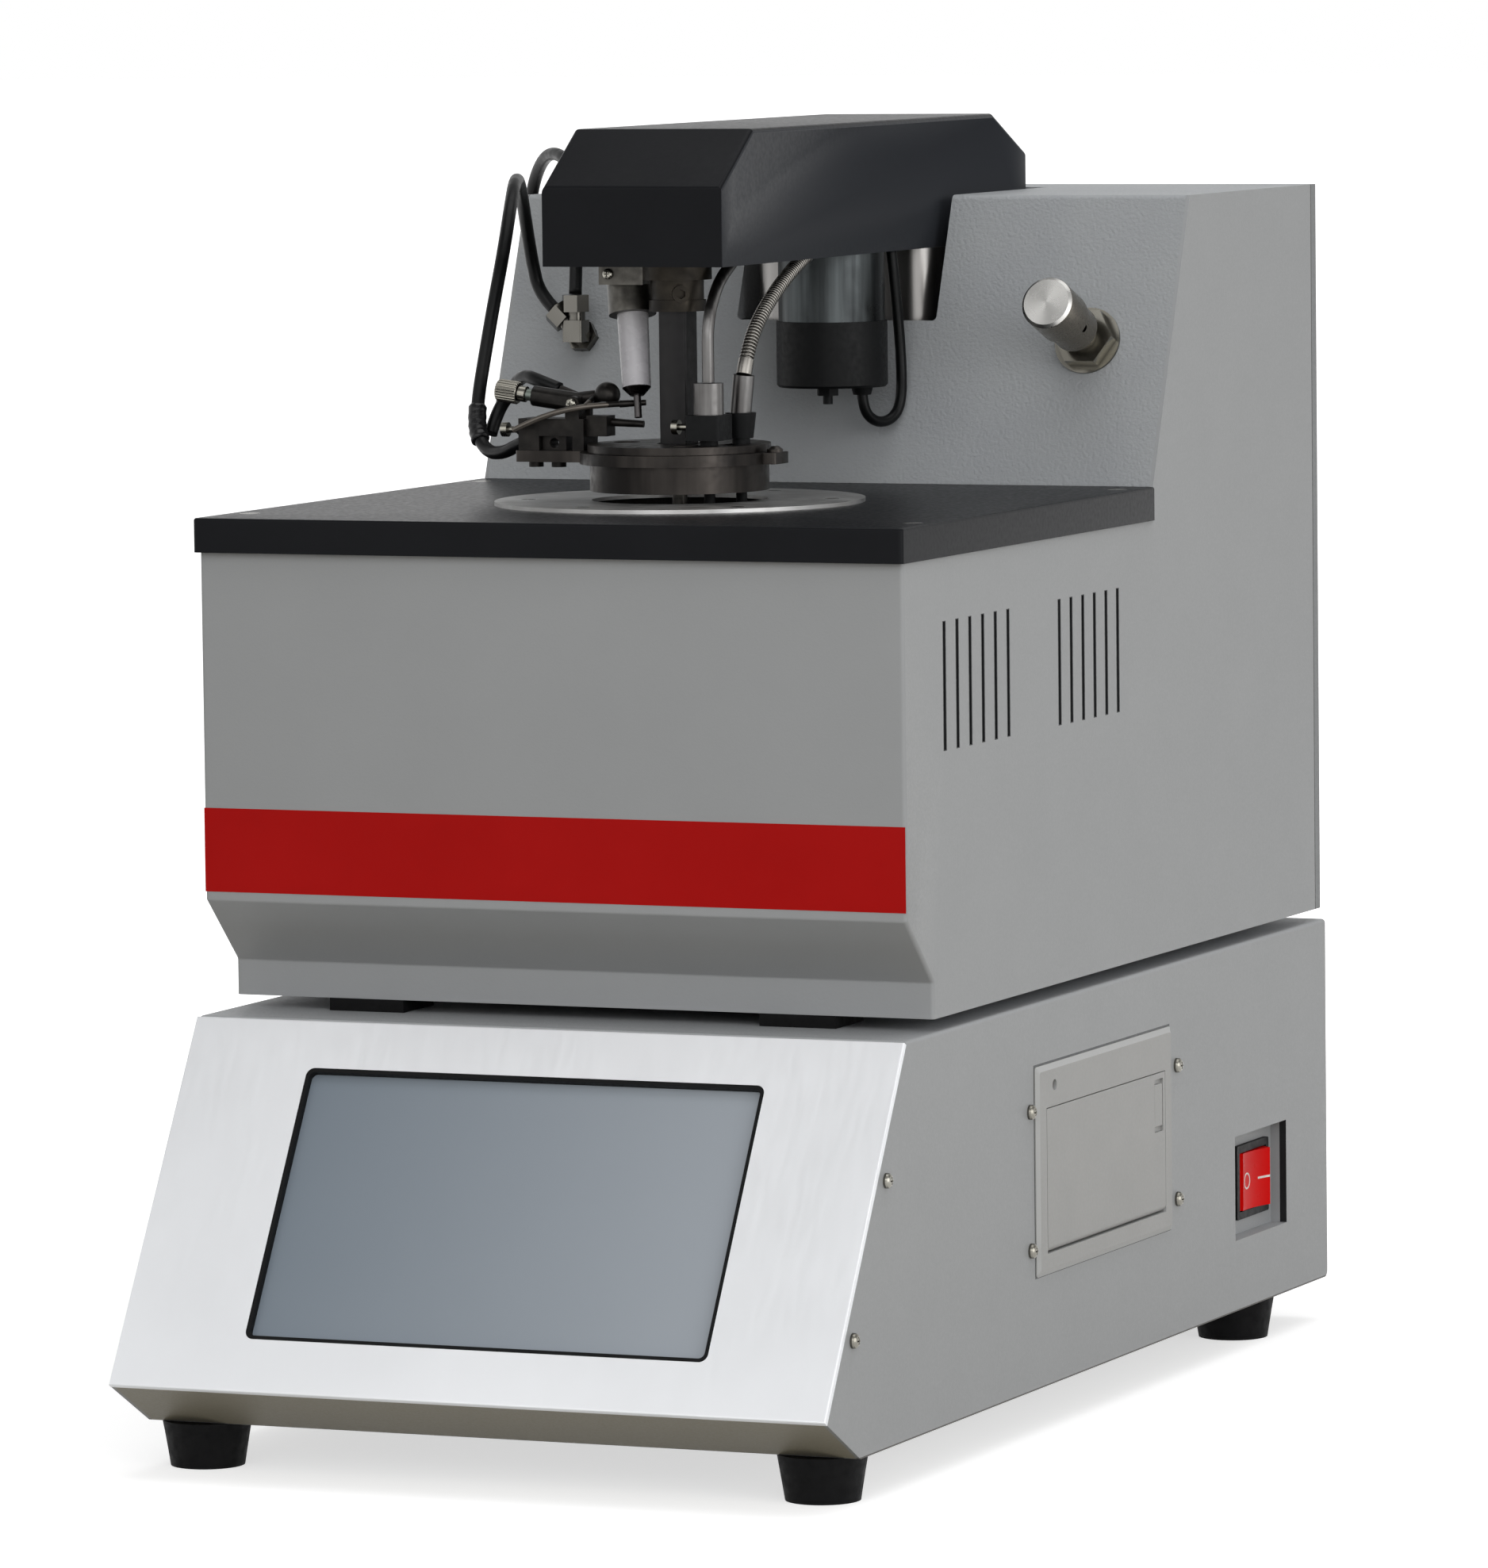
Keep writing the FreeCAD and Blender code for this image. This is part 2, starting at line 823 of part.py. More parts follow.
def build_switch():
    x = switch_face_x()
    z = switch_middle_z()
    half_length = rocker_length / 2
    half_height = rocker_height / 2
    body = switch_cutout().common(block(x - switch_body_depth, x, 0, console_depth, 0, console_top))
    rim = soft_block(
        x,
        x + switch_rim_thick,
        switch_middle_y - half_length - switch_rim,
        switch_middle_y + half_length + switch_rim,
        z - half_height - switch_rim,
        z + half_height + switch_rim,
        ACROSS,
        switch_rim_thick / 2,
    )
    well = block(
        x - rocker_well,
        x + switch_rim_thick + overrun,
        switch_middle_y - half_length - door_clear,
        switch_middle_y + half_length + door_clear,
        z - half_height - door_clear,
        z + half_height + door_clear,
    )
    shell = body.fuse(rim).cut(well)
    pivot_x = x - rocker_pivot_depth
    stub = door_clear + shaft_gap + switch_body_wall
    for side in (-1, 1):
        face = z + side * (half_height + door_clear)
        shell = shell.fuse(rod(vec(pivot_x, switch_middle_y, face + side * door_clear), vec(pivot_x, switch_middle_y, face - side * stub), rocker_pin_radius - shaft_gap))
    save("switch_body", shell)
    tilt = rocker_travel / 2
    pressed_y = switch_middle_y - half_length
    raised_y = switch_middle_y + half_length
    face_x = x + rocker_proud
    rocker = block(x - rocker_skirt, face_x, pressed_y, raised_y, z - half_height, z + half_height)
    hollow_radius = 2 * rocker_length
    scoop = rod(
        vec(face_x + hollow_radius - rocker_scoop, switch_middle_y, z - rocker_height),
        vec(face_x + hollow_radius - rocker_scoop, switch_middle_y, z + rocker_height),
        hollow_radius,
    )
    rocker = rocker.cut(scoop)
    bore = rod(vec(pivot_x, switch_middle_y, z - rocker_height), vec(pivot_x, switch_middle_y, z + rocker_height), rocker_pin_radius)
    below = rod(vec(pivot_x, switch_middle_y, z - rocker_height), vec(pivot_x, switch_middle_y, z + rocker_height), rocker_swing_radius)
    rocker = rocker.common(below).cut(bore)
    rocker.rotate(vec(pivot_x, switch_middle_y, z), UP, -tilt)
    save("switch_rocker", rocker)


rocker_well = 13.0
rocker_skirt = 7.0
rocker_scoop = 1.6
rocker_pin_radius = 1.6
rocker_swing_radius = 15.3


def unit_profile():
    return [
        (unit_lip_y, unit_bottom),
        (unit_rear_y, unit_bottom),
        (unit_rear_y, tower_top),
        (tower_foot_y + tower_lean, tower_top),
        (tower_foot_y, plate_top),
        (tower_foot_y, plate_bottom),
        (unit_front_y, plate_bottom),
        (unit_front_y, unit_bottom + unit_lip_height + unit_chamfer_height),
        (unit_lip_y, unit_bottom + unit_lip_height),
    ]


def build_body_shell():
    profile = unit_profile()
    shell = side_prism(profile, -unit_half, unit_half)
    front = [(unit_lip_y, unit_bottom)] + profile[-1:] + profile[-2:-1] + profile[-3:-2]
    shell = shell.makeFillet(bend_radius, edges_through(shell, front, unit_half))
    wire = Part.makePolygon([vec(-unit_half, y, z) for y, z in profile + [profile[0]]])
    inner = Part.Face(wire.makeOffset2D(-sheet)).extrude(vec(unit_width - 2 * sheet, 0, 0))
    inner = inner.translated(vec(sheet, 0, 0))
    shell = shell.cut(inner)
    mid_half = unit_half - sheet
    shell = shell.cut(block(-mid_half, mid_half, unit_lip_y + sheet, unit_rear_y + overrun, unit_bottom - overrun, unit_bottom + sheet + seat_gap))
    shell = shell.cut(block(-mid_half, mid_half, unit_rear_y - sheet - seat_gap, unit_rear_y + overrun, unit_bottom, tower_top + overrun))
    shell = shell.cut(block(-mid_half, mid_half, tower_foot_y - sheet, unit_rear_y + overrun, plate_top - plate_thick - sheet, tower_top + overrun))
    shell = shell.cut(block(-mid_half, mid_half, unit_front_y + sheet + plate_seat, tower_foot_y + overrun, plate_bottom - sheet - seat_gap, plate_bottom + overrun))
    run = tower_foot_y - unit_front_y
    for start_share, span_share in vent_group_shares:
        start = unit_front_y + start_share * run
        span = span_share * run
        for k in range(vent_count):
            y = start + k * (span - vent_slot) / (vent_count - 1)
            slot = block(-unit_width, unit_width, y, y + vent_slot, vent_z, vent_z + vent_height)
            shell = shell.cut(slot)
    grommet_hole = rod(vec(-unit_width, grommet_y, grommet_z), vec(0, grommet_y, grommet_z), grommet_neck_radius)
    shell = shell.cut(grommet_hole)
    save("body_shell", shell)


plate_seat = 12.0


def build_body_base():
    half = unit_half - sheet
    base = block(-half, half, unit_lip_y + sheet, unit_rear_y, unit_bottom, unit_bottom + sheet)
    save("body_base", base)


# Rear panel of the upper housing with the fan's grille
fan_size = 80.0
fan_depth = 25.0
fan_rise = 86.0
fan_z = unit_bottom + fan_rise
fan_wall = 2.0
fan_bore_radius = 38.0
fan_hub_radius = 17.0
fan_blade_count = 7
fan_blade_thick = 1.6
fan_tip_gap = 1.2
fan_blade_pitch = 35.0
grille_slot = 3.0
grille_pitch = 6.4
rear_panel_inset = 1.0
rear_panel_width = unit_width - 2 * rear_panel_inset
rear_screw_inset = 9.0
rear_screw_share = 0.5


def rear_screw_places():
    x = rear_panel_width / 2 - rear_screw_inset
    low = unit_bottom + rear_screw_inset
    high = tower_top - rear_screw_inset
    middle = low + rear_screw_share * (high - low)
    return [(side * x, z) for side in (-1, 1) for z in (low, middle, high)]


def build_rear_panel():
    half = rear_panel_width / 2
    panel = soft_block(-half, half, unit_rear_y, console_depth, unit_bottom + sheet, tower_top - sheet / 2, BACK, sheet)
    count = int(fan_bore_radius / grille_pitch)
    for k in range(-count, count + 1):
        offset = k * grille_pitch
        reach = math.sqrt(fan_bore_radius ** 2 - offset ** 2)
        if reach > grille_pitch:
            slot = block(-reach, reach, unit_rear_y - overrun, console_depth + overrun, fan_z + offset - grille_slot / 2, fan_z + offset + grille_slot / 2)
            panel = panel.cut(slot)
    for x, z in rear_screw_places():
        panel = panel.cut(rod(vec(x, unit_rear_y - overrun, z), vec(x, console_depth + overrun, z), screw_radius))
    save("rear_panel", panel)


def build_fan():
    half = fan_size / 2
    front = unit_rear_y - fan_depth
    frame = soft_block(-half, half, front, unit_rear_y, fan_z - half, fan_z + half, BACK, 2 * fan_wall)
    tunnel = rod(vec(0, front - overrun, fan_z), vec(0, unit_rear_y + overrun, fan_z), fan_bore_radius)
    frame = frame.cut(tunnel)
    seat = rod(vec(0, front, fan_z), vec(0, front + fan_wall, fan_z), fan_hub_radius)
    frame = frame.fuse(seat)
    for k in range(4):
        angle = math.pi / 4 + k * math.pi / 2
        reach = fan_bore_radius + fan_wall / 2
        arm = block(0, reach, front, front + fan_wall, -fan_wall, fan_wall)
        arm.Placement = FreeCAD.Placement(vec(0, 0, fan_z), FreeCAD.Rotation(BACK, math.degrees(angle)))
        frame = frame.fuse(arm)
    spindle = rod(vec(0, front, fan_z), vec(0, front + fan_depth / 2, fan_z), shaft_radius - shaft_gap)
    save("fan_frame", frame.fuse(spindle))
    hub_front = front + fan_wall + fan_tip_gap
    hub_rear = unit_rear_y - fan_wall
    rotor = rod(vec(0, hub_front, fan_z), vec(0, hub_rear, fan_z), fan_hub_radius)
    rotor = rotor.cut(rod(vec(0, hub_front - overrun, fan_z), vec(0, front + fan_depth / 2 + fan_tip_gap, fan_z), shaft_radius))
    tip = fan_bore_radius - fan_tip_gap
    for k in range(fan_blade_count):
        span = (hub_rear - hub_front) * fan_blade_share
        blade = block(fan_hub_radius - fan_wall, tip - fan_wall, -span / 2, span / 2, -fan_blade_thick / 2, fan_blade_thick / 2)
        blade.rotate(vec(0, 0, 0), ACROSS, fan_blade_pitch)
        blade.Placement = FreeCAD.Placement(
            vec(0, (hub_front + hub_rear) / 2, fan_z), FreeCAD.Rotation(BACK, k * 360 / fan_blade_count)
        ).multiply(blade.Placement)
        rotor = rotor.fuse(blade)
    save("fan_rotor", rotor)


fan_blade_share = 0.9


# Black work plate and the steel ring let in round the cup's opening
plate_corner = 2.0
plate_screw_inset_x = 9.0
plate_screw_front = 33.0
plate_screw_rear = 20.0
flat_screw_radius = 4.0
flat_screw_shank = 2.0
flat_screw_depth = 2.2
ring_radius = 73.8
ring_bore_radius = 35.0
ring_thick = 1.5
ring_screw_circle = 61.0
ring_screw_count = 6
ring_screw_radius = 3.0
well_radius = 36.0
well_depth = 58.0
well_wall = 4.0
well_floor = 8.0
bath_body_radius = 50.0
bath_flange_radius = 60.0
bath_flange_thick = 4.0
heater_thick = 3.5
heater_inset = 6.0


def plate_screw_places():
    x = plate_width / 2 - plate_screw_inset_x
    return [(side * x, y) for side in (-1, 1) for y in (plate_front_y + plate_screw_front, tower_foot_y - plate_screw_rear)]


def ring_screw_places():
    places = []
    for k in range(ring_screw_count):
        angle = math.radians(15 + k * 360 / ring_screw_count)
        places.append((cup_x + ring_screw_circle * math.cos(angle), cup_y + ring_screw_circle * math.sin(angle)))
    return places


def flat_screw(x, y, top, radius):
    shank = rod(vec(x, y, top - 3 * flat_screw_depth), vec(x, y, top), flat_screw_shank)
    head = cone(vec(x, y, top - flat_screw_depth), vec(x, y, top), flat_screw_shank, radius)
    return shank.fuse(head)


def screw_slot(x, y, top, radius):
    width = radius / 5
    return block(x - radius, x + radius, y - width, y + width, top - flat_screw_depth / 3, top + overrun)


def build_work_plate():
    half = plate_width / 2
    plate = soft_block(-half, half, plate_front_y, tower_foot_y, plate_bottom, plate_top, UP, plate_corner)
    rim = [edge for edge in plate.Edges if abs(edge.BoundBox.ZMin - plate_top) < shaft_gap and edge.BoundBox.ZLength < shaft_gap]
    plate = plate.makeFillet(plate_corner / 2, rim)
    bore = rod(vec(cup_x, cup_y, plate_bottom - overrun), vec(cup_x, cup_y, plate_top + overrun), well_radius + well_wall + shaft_gap)
    plate = plate.cut(bore)
    screws = []
    for x, y in plate_screw_places():
        plate = plate.cut(flat_screw(x, y, plate_top, flat_screw_radius))
        screws.append(flat_screw(x, y, plate_top, flat_screw_radius).cut(screw_slot(x, y, plate_top, flat_screw_radius)))
    ring_top = plate_top + ring_thick
    ring = turned([(ring_bore_radius, plate_top), (ring_radius, plate_top), (ring_radius, ring_top), (ring_bore_radius, ring_top)], cup_x, cup_y)
    for x, y in ring_screw_places():
        cutter = flat_screw(x, y, ring_top, ring_screw_radius)
        ring = ring.cut(cutter)
        plate = plate.cut(cutter)
        screws.append(cutter.cut(screw_slot(x, y, ring_top, ring_screw_radius)))
    save("work_plate", plate)
    save("bath_ring", ring)
    save("flat_screws", screws)


def build_bath():
    collar = well_radius + well_wall
    floor = plate_top - well_depth
    low = floor - well_floor
    profile = [
        (0, low),
        (bath_body_radius, low),
        (bath_body_radius, plate_bottom - bath_flange_thick),
        (bath_flange_radius, plate_bottom - bath_flange_thick),
        (bath_flange_radius, plate_bottom),
        (collar, plate_bottom),
        (collar, plate_top),
        (well_radius, plate_top),
        (well_radius, floor),
        (0, floor),
    ]
    save("heating_bath", turned(profile, cup_x, cup_y))
    band_low = low + heater_inset
    band_high = plate_bottom - bath_flange_thick - heater_inset
    outer = bath_body_radius + heater_thick
    band = turned([(bath_body_radius, band_low), (outer, band_low), (outer, band_high), (bath_body_radius, band_high)], cup_x, cup_y)
    gap = block(cup_x, cup_x + 2 * outer, cup_y - heater_thick, cup_y + heater_thick, band_low, band_high)
    lugs = []
    for side in (-1, 1):
        y_in = cup_y + side * heater_thick
        y_out = cup_y + side * 2 * heater_thick
        lugs.append(block(cup_x + outer - heater_thick, cup_x + outer + 3 * heater_thick, min(y_in, y_out), max(y_in, y_out), band_low, band_high))
    clamp = band.cut(gap)
    for lug in lugs:
        clamp = clamp.fuse(lug.cut(rod(vec(cup_x, cup_y, low), vec(cup_x, cup_y, plate_bottom), bath_body_radius)))
    save("bath_heater", clamp)


# Cover of the tower: slanting front and top in one folded sheet, with the slot for the arm
tower_bend = 3.0
slot_corner = 2.0


def tower_lean_at(z):
    return tower_foot_y + tower_lean * (z - plate_top) / tower_height


def tower_normal():
    normal = vec(0, -tower_height, tower_lean)
    normal.normalize()
    return normal


def build_tower_cover():
    half = unit_half - sheet
    run = math.hypot(tower_lean, tower_height)
    outer = [
        (tower_foot_y, plate_top),
        (tower_foot_y + tower_lean, tower_top),
        (unit_rear_y, tower_top),
        (unit_rear_y, plate_top),
    ]
    prism = side_prism(outer, -half, half)
    bend = [edge for edge in prism.Edges if abs(edge.BoundBox.ZMin - tower_top) < shaft_gap and abs(edge.BoundBox.YMin - tower_foot_y - tower_lean) < shaft_gap and edge.BoundBox.XLength > half]
    prism = prism.makeFillet(tower_bend, bend)
    drop = sheet * run / tower_height
    inside = side_prism(
        [
            (tower_foot_y + drop, plate_top - overrun),
            (tower_foot_y + drop, plate_top),
            (tower_foot_y + tower_lean + drop - sheet * tower_lean / tower_height, tower_top - sheet),
            (unit_rear_y + overrun, tower_top - sheet),
            (unit_rear_y + overrun, plate_top - overrun),
        ],
        -half - overrun,
        half + overrun,
    )
    cover = prism.cut(inside)
    slot_half = slot_width / 2
    floor = plate_top + slot_floor_rise
    cheek_out = block(-slot_half - sheet, slot_half + sheet, tower_foot_y, slot_back_y + sheet, floor, tower_top)
    cheeks = cheek_out.common(prism)
    cheeks = cheeks.cut(block(-slot_half, slot_half, tower_foot_y - overrun, slot_back_y, floor - overrun, tower_top + overrun))
    cover = cover.fuse(cheeks)
    cutter = soft_block(-slot_half, slot_half, tower_foot_y - tower_lean, slot_back_y, floor, tower_top + tower_height, BACK, slot_corner)
    cover = cover.cut(cutter)
    for side in (-1, 1):
        root = fitting_root(side)
        cover = cover.cut(rod(root - tower_normal() * tower_lean / 2, root + tower_normal() * tower_lean / 2, fitting_thread))
    save("tower_cover", cover)


# Gas fittings on the tower: needle valve on the right, outlet tee on the left
fitting_inset_x = 36.25
fitting_x = unit_half - fitting_inset_x
fitting_rise = 57.7
fitting_thread = 6.0
washer_radius = 14.0
washer_thick = 1.2
valve_nut_flats = 22.0
valve_nut_thick = 6.0
valve_neck_radius = 6.5
valve_neck_length = 8.0
valve_stem_length = 14.0
valve_body_length = 26.0
valve_body_radius = 9.0
knob_radius = 10.8
knob_length = 34.0
knob_chamfer = 1.2
knob_waist_radius = 9.6
knob_waist_share = 0.42
knob_screw_radius = 1.6
knob_screw_share = 0.24
knob_bore_radius = 3.3


def fitting_root(side):
    z = plate_top + fitting_rise
    return vec(side * fitting_x, tower_lean_at(z), z)


def build_valve():
    out = tower_normal()
    root = fitting_root(1)
    thread = rod(root - out * valve_body_length / 2, root, fitting_thread - shaft_gap)
    inner_body = rod(root - out * (valve_body_length + sheet), root - out * sheet, valve_body_radius)
    washer = rod(root, root + out * washer_thick, washer_radius)
    nut = hexagon_bar(root + out * washer_thick, out, valve_nut_thick, valve_nut_flats)
    neck_start = root + out * (washer_thick + valve_nut_thick)
    neck = rod(neck_start, neck_start + out * valve_neck_length, valve_neck_radius)
    stem_start = neck_start + out * valve_neck_length
    stem = rod(stem_start, stem_start + out * valve_stem_length, knob_bore_radius - shaft_gap)
    save("valve_body", thread.fuse(inner_body).fuse(washer).fuse(nut).fuse(neck).fuse(stem))
    knob_start = stem_start + out * seat_gap
    waist = knob_waist_share * knob_length
    profile = [
        (knob_bore_radius, 0),
        (knob_waist_radius, 0),
        (knob_waist_radius, waist),
        (knob_radius, waist),
        (knob_radius, knob_length - knob_chamfer),
        (knob_radius - knob_chamfer, knob_length),
        (0, knob_length),
        (0, valve_stem_length),
        (knob_bore_radius, valve_stem_length),
    ]
    knob = turned_along(profile, knob_start, out)
    hole_at = knob_start + out * (knob_screw_share * knob_length)
    knob = knob.cut(rod(hole_at, hole_at + vec(knob_radius, -knob_radius / 2, -knob_radius / 4) * 2, knob_screw_radius))
    save("valve_knob", knob)


# Outlet tee: bulkhead stem, body, and two union nuts with their hose stubs
tee_reach = 9.0
tee_stem_radius = 4.2
tee_body_size = 9.0
tee_nut_flats = 10.5
tee_nut_length = 7.0
tee_side_neck = 1.2
tee_top_neck = 3.5
tee_neck_radius = 4.0
tee_side_way = (-0.72, -0.69)
gas_hose_radius = 2.7


def tee_centre():
    return fitting_root(-1) + tower_normal() * tee_reach


def tee_outlets():
    # the directions of both union nuts, and how far from the centre each one starts
    left, down = tee_side_way
    half = tee_body_size / 2
    return ((vec(left, 0, -down), half + tee_side_neck), (UP, half + tee_top_neck))


def tee_end(outlet):
    way, first = outlet
    return tee_centre() + way * (first + tee_nut_length + seat_gap)


def build_tee():
    out = tower_normal()
    root = fitting_root(-1)
    centre = tee_centre()
    half = tee_body_size / 2
    body = block(centre.x - half, centre.x + half, centre.y - half, centre.y + half, centre.z - half, centre.z + half)
    body = rounded(body, UP, half / 4)
    stem = rod(root - out * valve_body_length / 2, centre, tee_stem_radius)
    flange = hexagon_bar(root, out, washer_thick * 3, tee_nut_flats + washer_thick)
    inner_nut = hexagon_bar(root - out * (sheet + valve_nut_thick), out, valve_nut_thick, tee_nut_flats + washer_thick)
    tee = body.fuse(stem).fuse(flange).fuse(inner_nut)
    for way, first in tee_outlets():
        neck = rod(centre, centre + way * first, tee_neck_radius)
        nut = hexagon_bar(centre + way * first, way, tee_nut_length, tee_nut_flats)
        tee = tee.fuse(neck).fuse(nut)
    save("tee_fitting", tee)


# Lifting gear inside the tower: two guide rods and a thrust actuator on one foot block
rod_x = 24.0
column_set = 126.0
column_y = console_depth - column_set
guide_radius = 6.0
guide_top_gap = 16.0
lift_foot_height = 14.0
lift_foot_width = 90.0
lift_foot_depth = 60.0
actuator_radius = 14.0
actuator_top_gap = 2.5
gearbox_radius = 17.0
gearbox_height = 34.0
thrust_radius = 5.0
carriage_height = 40.0
sleeve_width = 78.0
sleeve_depth = 84.0
sleeve_corner = 9.0
sleeve_length = 162.0
carriage_gap = 0.05


def build_lift():
    floor = unit_bottom + sheet
    foot_top = floor + lift_foot_height
    foot = block(-lift_foot_width / 2, lift_foot_width / 2, column_y - lift_foot_depth / 2, column_y + lift_foot_depth / 2, floor, foot_top)
    rods = []
    for side in (-1, 1):
        rods.append(rod(vec(side * rod_x, column_y, foot_top), vec(side * rod_x, column_y, arm_bottom - guide_top_gap), guide_radius))
    save("lift_guide", [foot] + rods)
    low = arm_bottom - sleeve_length
    tube = rod(vec(0, column_y, foot_top), vec(0, column_y, low - actuator_top_gap), actuator_radius)
    gearbox = rod(vec(0, column_y, foot_top), vec(0, column_y, foot_top + gearbox_height), gearbox_radius)
    bore_floor = foot_top + gearbox_height / 4
    bore = rod(vec(0, column_y, bore_floor), vec(0, column_y, low), thrust_radius + shaft_gap)
    actuator = tube.fuse(gearbox).cut(bore)
    save("lift_actuator", actuator)
    half_w = sleeve_width / 2
    half_d = sleeve_depth / 2
    sleeve = soft_block(-half_w, half_w, column_y - half_d, column_y + half_d, low, arm_bottom, UP, sleeve_corner)
    core = soft_block(
        -half_w + sheet,
        half_w - sheet,
        column_y - half_d + sheet,
        column_y + half_d - sheet,
        low - overrun,
        arm_bottom + overrun,
        UP,
        sleeve_corner - sheet,
    )
    save("lift_sleeve", sleeve.cut(core))
    carriage = core.common(block(-half_w, half_w, column_y - half_d, column_y + half_d, low, low + carriage_height))
    for side in (-1, 1):
        carriage = carriage.cut(rod(vec(side * rod_x, column_y, low - overrun), vec(side * rod_x, column_y, arm_bottom), guide_radius + carriage_gap))
    thrust = rod(vec(0, column_y, bore_floor + overrun), vec(0, column_y, low), thrust_radius)
    save("lift_carriage", carriage.fuse(thrust))


# Arm: black folded cover over a base plate
arm_width = 77.2
arm_nose = 43.9
arm_front_y = cup_y - arm_nose
arm_tail_gap = 10.1
arm_rear_y = slot_back_y - arm_tail_gap
arm_front_height = 31.4
arm_height = 53.4
arm_front_chamfer = 32.0
arm_rear_chamfer = 36.1
arm_rear_drop = 16.5
arm_plate_thick = 3.0
arm_bend = 2.0
arm_screw_share = 0.35


def arm_profile():
    top = arm_bottom + arm_height
    return [
        (arm_front_y, arm_bottom),
        (arm_rear_y, arm_bottom),
        (arm_rear_y, top - arm_rear_drop),
        (arm_rear_y - arm_rear_chamfer, top),
        (arm_front_y + arm_front_chamfer, top),
        (arm_front_y, arm_bottom + arm_front_height),
    ]


def build_arm():
    half = arm_width / 2
    profile = arm_profile()
    cover = side_prism(profile, -half, half)
    top_edges = [edge for edge in cover.Edges if edge.BoundBox.ZMin > arm_bottom + arm_front_height - shaft_gap]
    cover = cover.makeFillet(arm_bend, top_edges)
    wire = Part.makePolygon([vec(-half + sheet, y, z) for y, z in profile + [profile[0]]])
    inner = Part.Face(wire.makeOffset2D(-sheet)).extrude(vec(arm_width - 2 * sheet, 0, 0))
    mouth = block(-half + sheet, half - sheet, arm_front_y + sheet, arm_rear_y - sheet, arm_bottom - overrun, arm_bottom + arm_front_height / 2)
    save("arm_cover", cover.cut(inner).cut(mouth))
    plate = block(-half + sheet, half - sheet, arm_front_y + sheet, arm_rear_y - sheet, arm_bottom, arm_bottom + arm_plate_thick)
    plate = plate.cut(rod(vec(cup_x, cup_y, arm_bottom - overrun), vec(cup_x, cup_y, arm_bottom + 2 * arm_plate_thick), shaft_radius + seat_gap))
    plate = plate.cut(rod(vec(motor_x, motor_y, arm_bottom - overrun), vec(motor_x, motor_y, arm_bottom + 2 * arm_plate_thick), 2 * shaft_radius))
    for end, way, radius in conduit_ends():
        plate = plate.cut(rod(end - way * conduit_hole_reach, end + way * conduit_hole_reach, radius + conduit_hole_gap))
    save("arm_base", plate)


# Stirrer drive: motor under the arm, belt and pulleys inside it
motor_x = 15.0
motor_set = 15.0
motor_y = tower_foot_y - motor_set
motor_can_radius = 21.7
motor_can_height = 28.0
motor_cap_radius = 22.7
motor_cap_height = 26.9
motor_nut_flats = 8.0
motor_nut_length = 3.5
motor_nut_offset = 5.0
motor_gland_radius = 4.6
motor_gland_length = 3.5
motor_gland_x = 11.0
motor_gland_y = 5.0
gland_taper_share = 0.8
cap_lip = 1.0
pulley_height = 8.0
pulley_rise = 4.0
motor_pulley_radius = 9.0
stirrer_pulley_radius = 12.0
pulley_flange = 1.4
belt_thick = 1.6
belt_width = 4.6
motor_shaft_radius = 2.5


def belt_loop(grow):
    small = rod(vec(motor_x, motor_y, 0), vec(motor_x, motor_y, belt_width), motor_pulley_radius + grow)
    large = rod(vec(cup_x, cup_y, 0), vec(cup_x, cup_y, belt_width), stirrer_pulley_radius + grow)
    along = vec(motor_x - cup_x, motor_y - cup_y, 0)
    distance = along.Length
    along.normalize()
    across = vec(-along.y, along.x, 0)
    lean = (stirrer_pulley_radius - motor_pulley_radius) / distance
    straight = math.sqrt(1 - lean * lean)
    corners = []
    for side in (1, -1):
        out = across * (side * straight) + along * lean
        pair = [
            vec(cup_x, cup_y, 0) + out * (stirrer_pulley_radius + grow),
            vec(motor_x, motor_y, 0) + out * (motor_pulley_radius + grow),
        ]
        corners.extend(pair if side == 1 else pair[::-1])
    web = outline(corners).extrude(vec(0, 0, belt_width))
    return small.fuse(large).fuse(web)


def pulley(x, y, z, radius, bore):
    top = z + pulley_height
    middle_low = z + (pulley_height - belt_width) / 2 - seat_gap
    middle_high = z + (pulley_height + belt_width) / 2 + seat_gap
    wide = radius + belt_thick + pulley_flange
    profile = [
        (bore, z),
        (wide, z),
        (wide, middle_low),
        (radius, middle_low),
        (radius, middle_high),
        (wide, middle_high),
        (wide, top),
        (bore, top),
    ]
    return turned(profile, x, y)


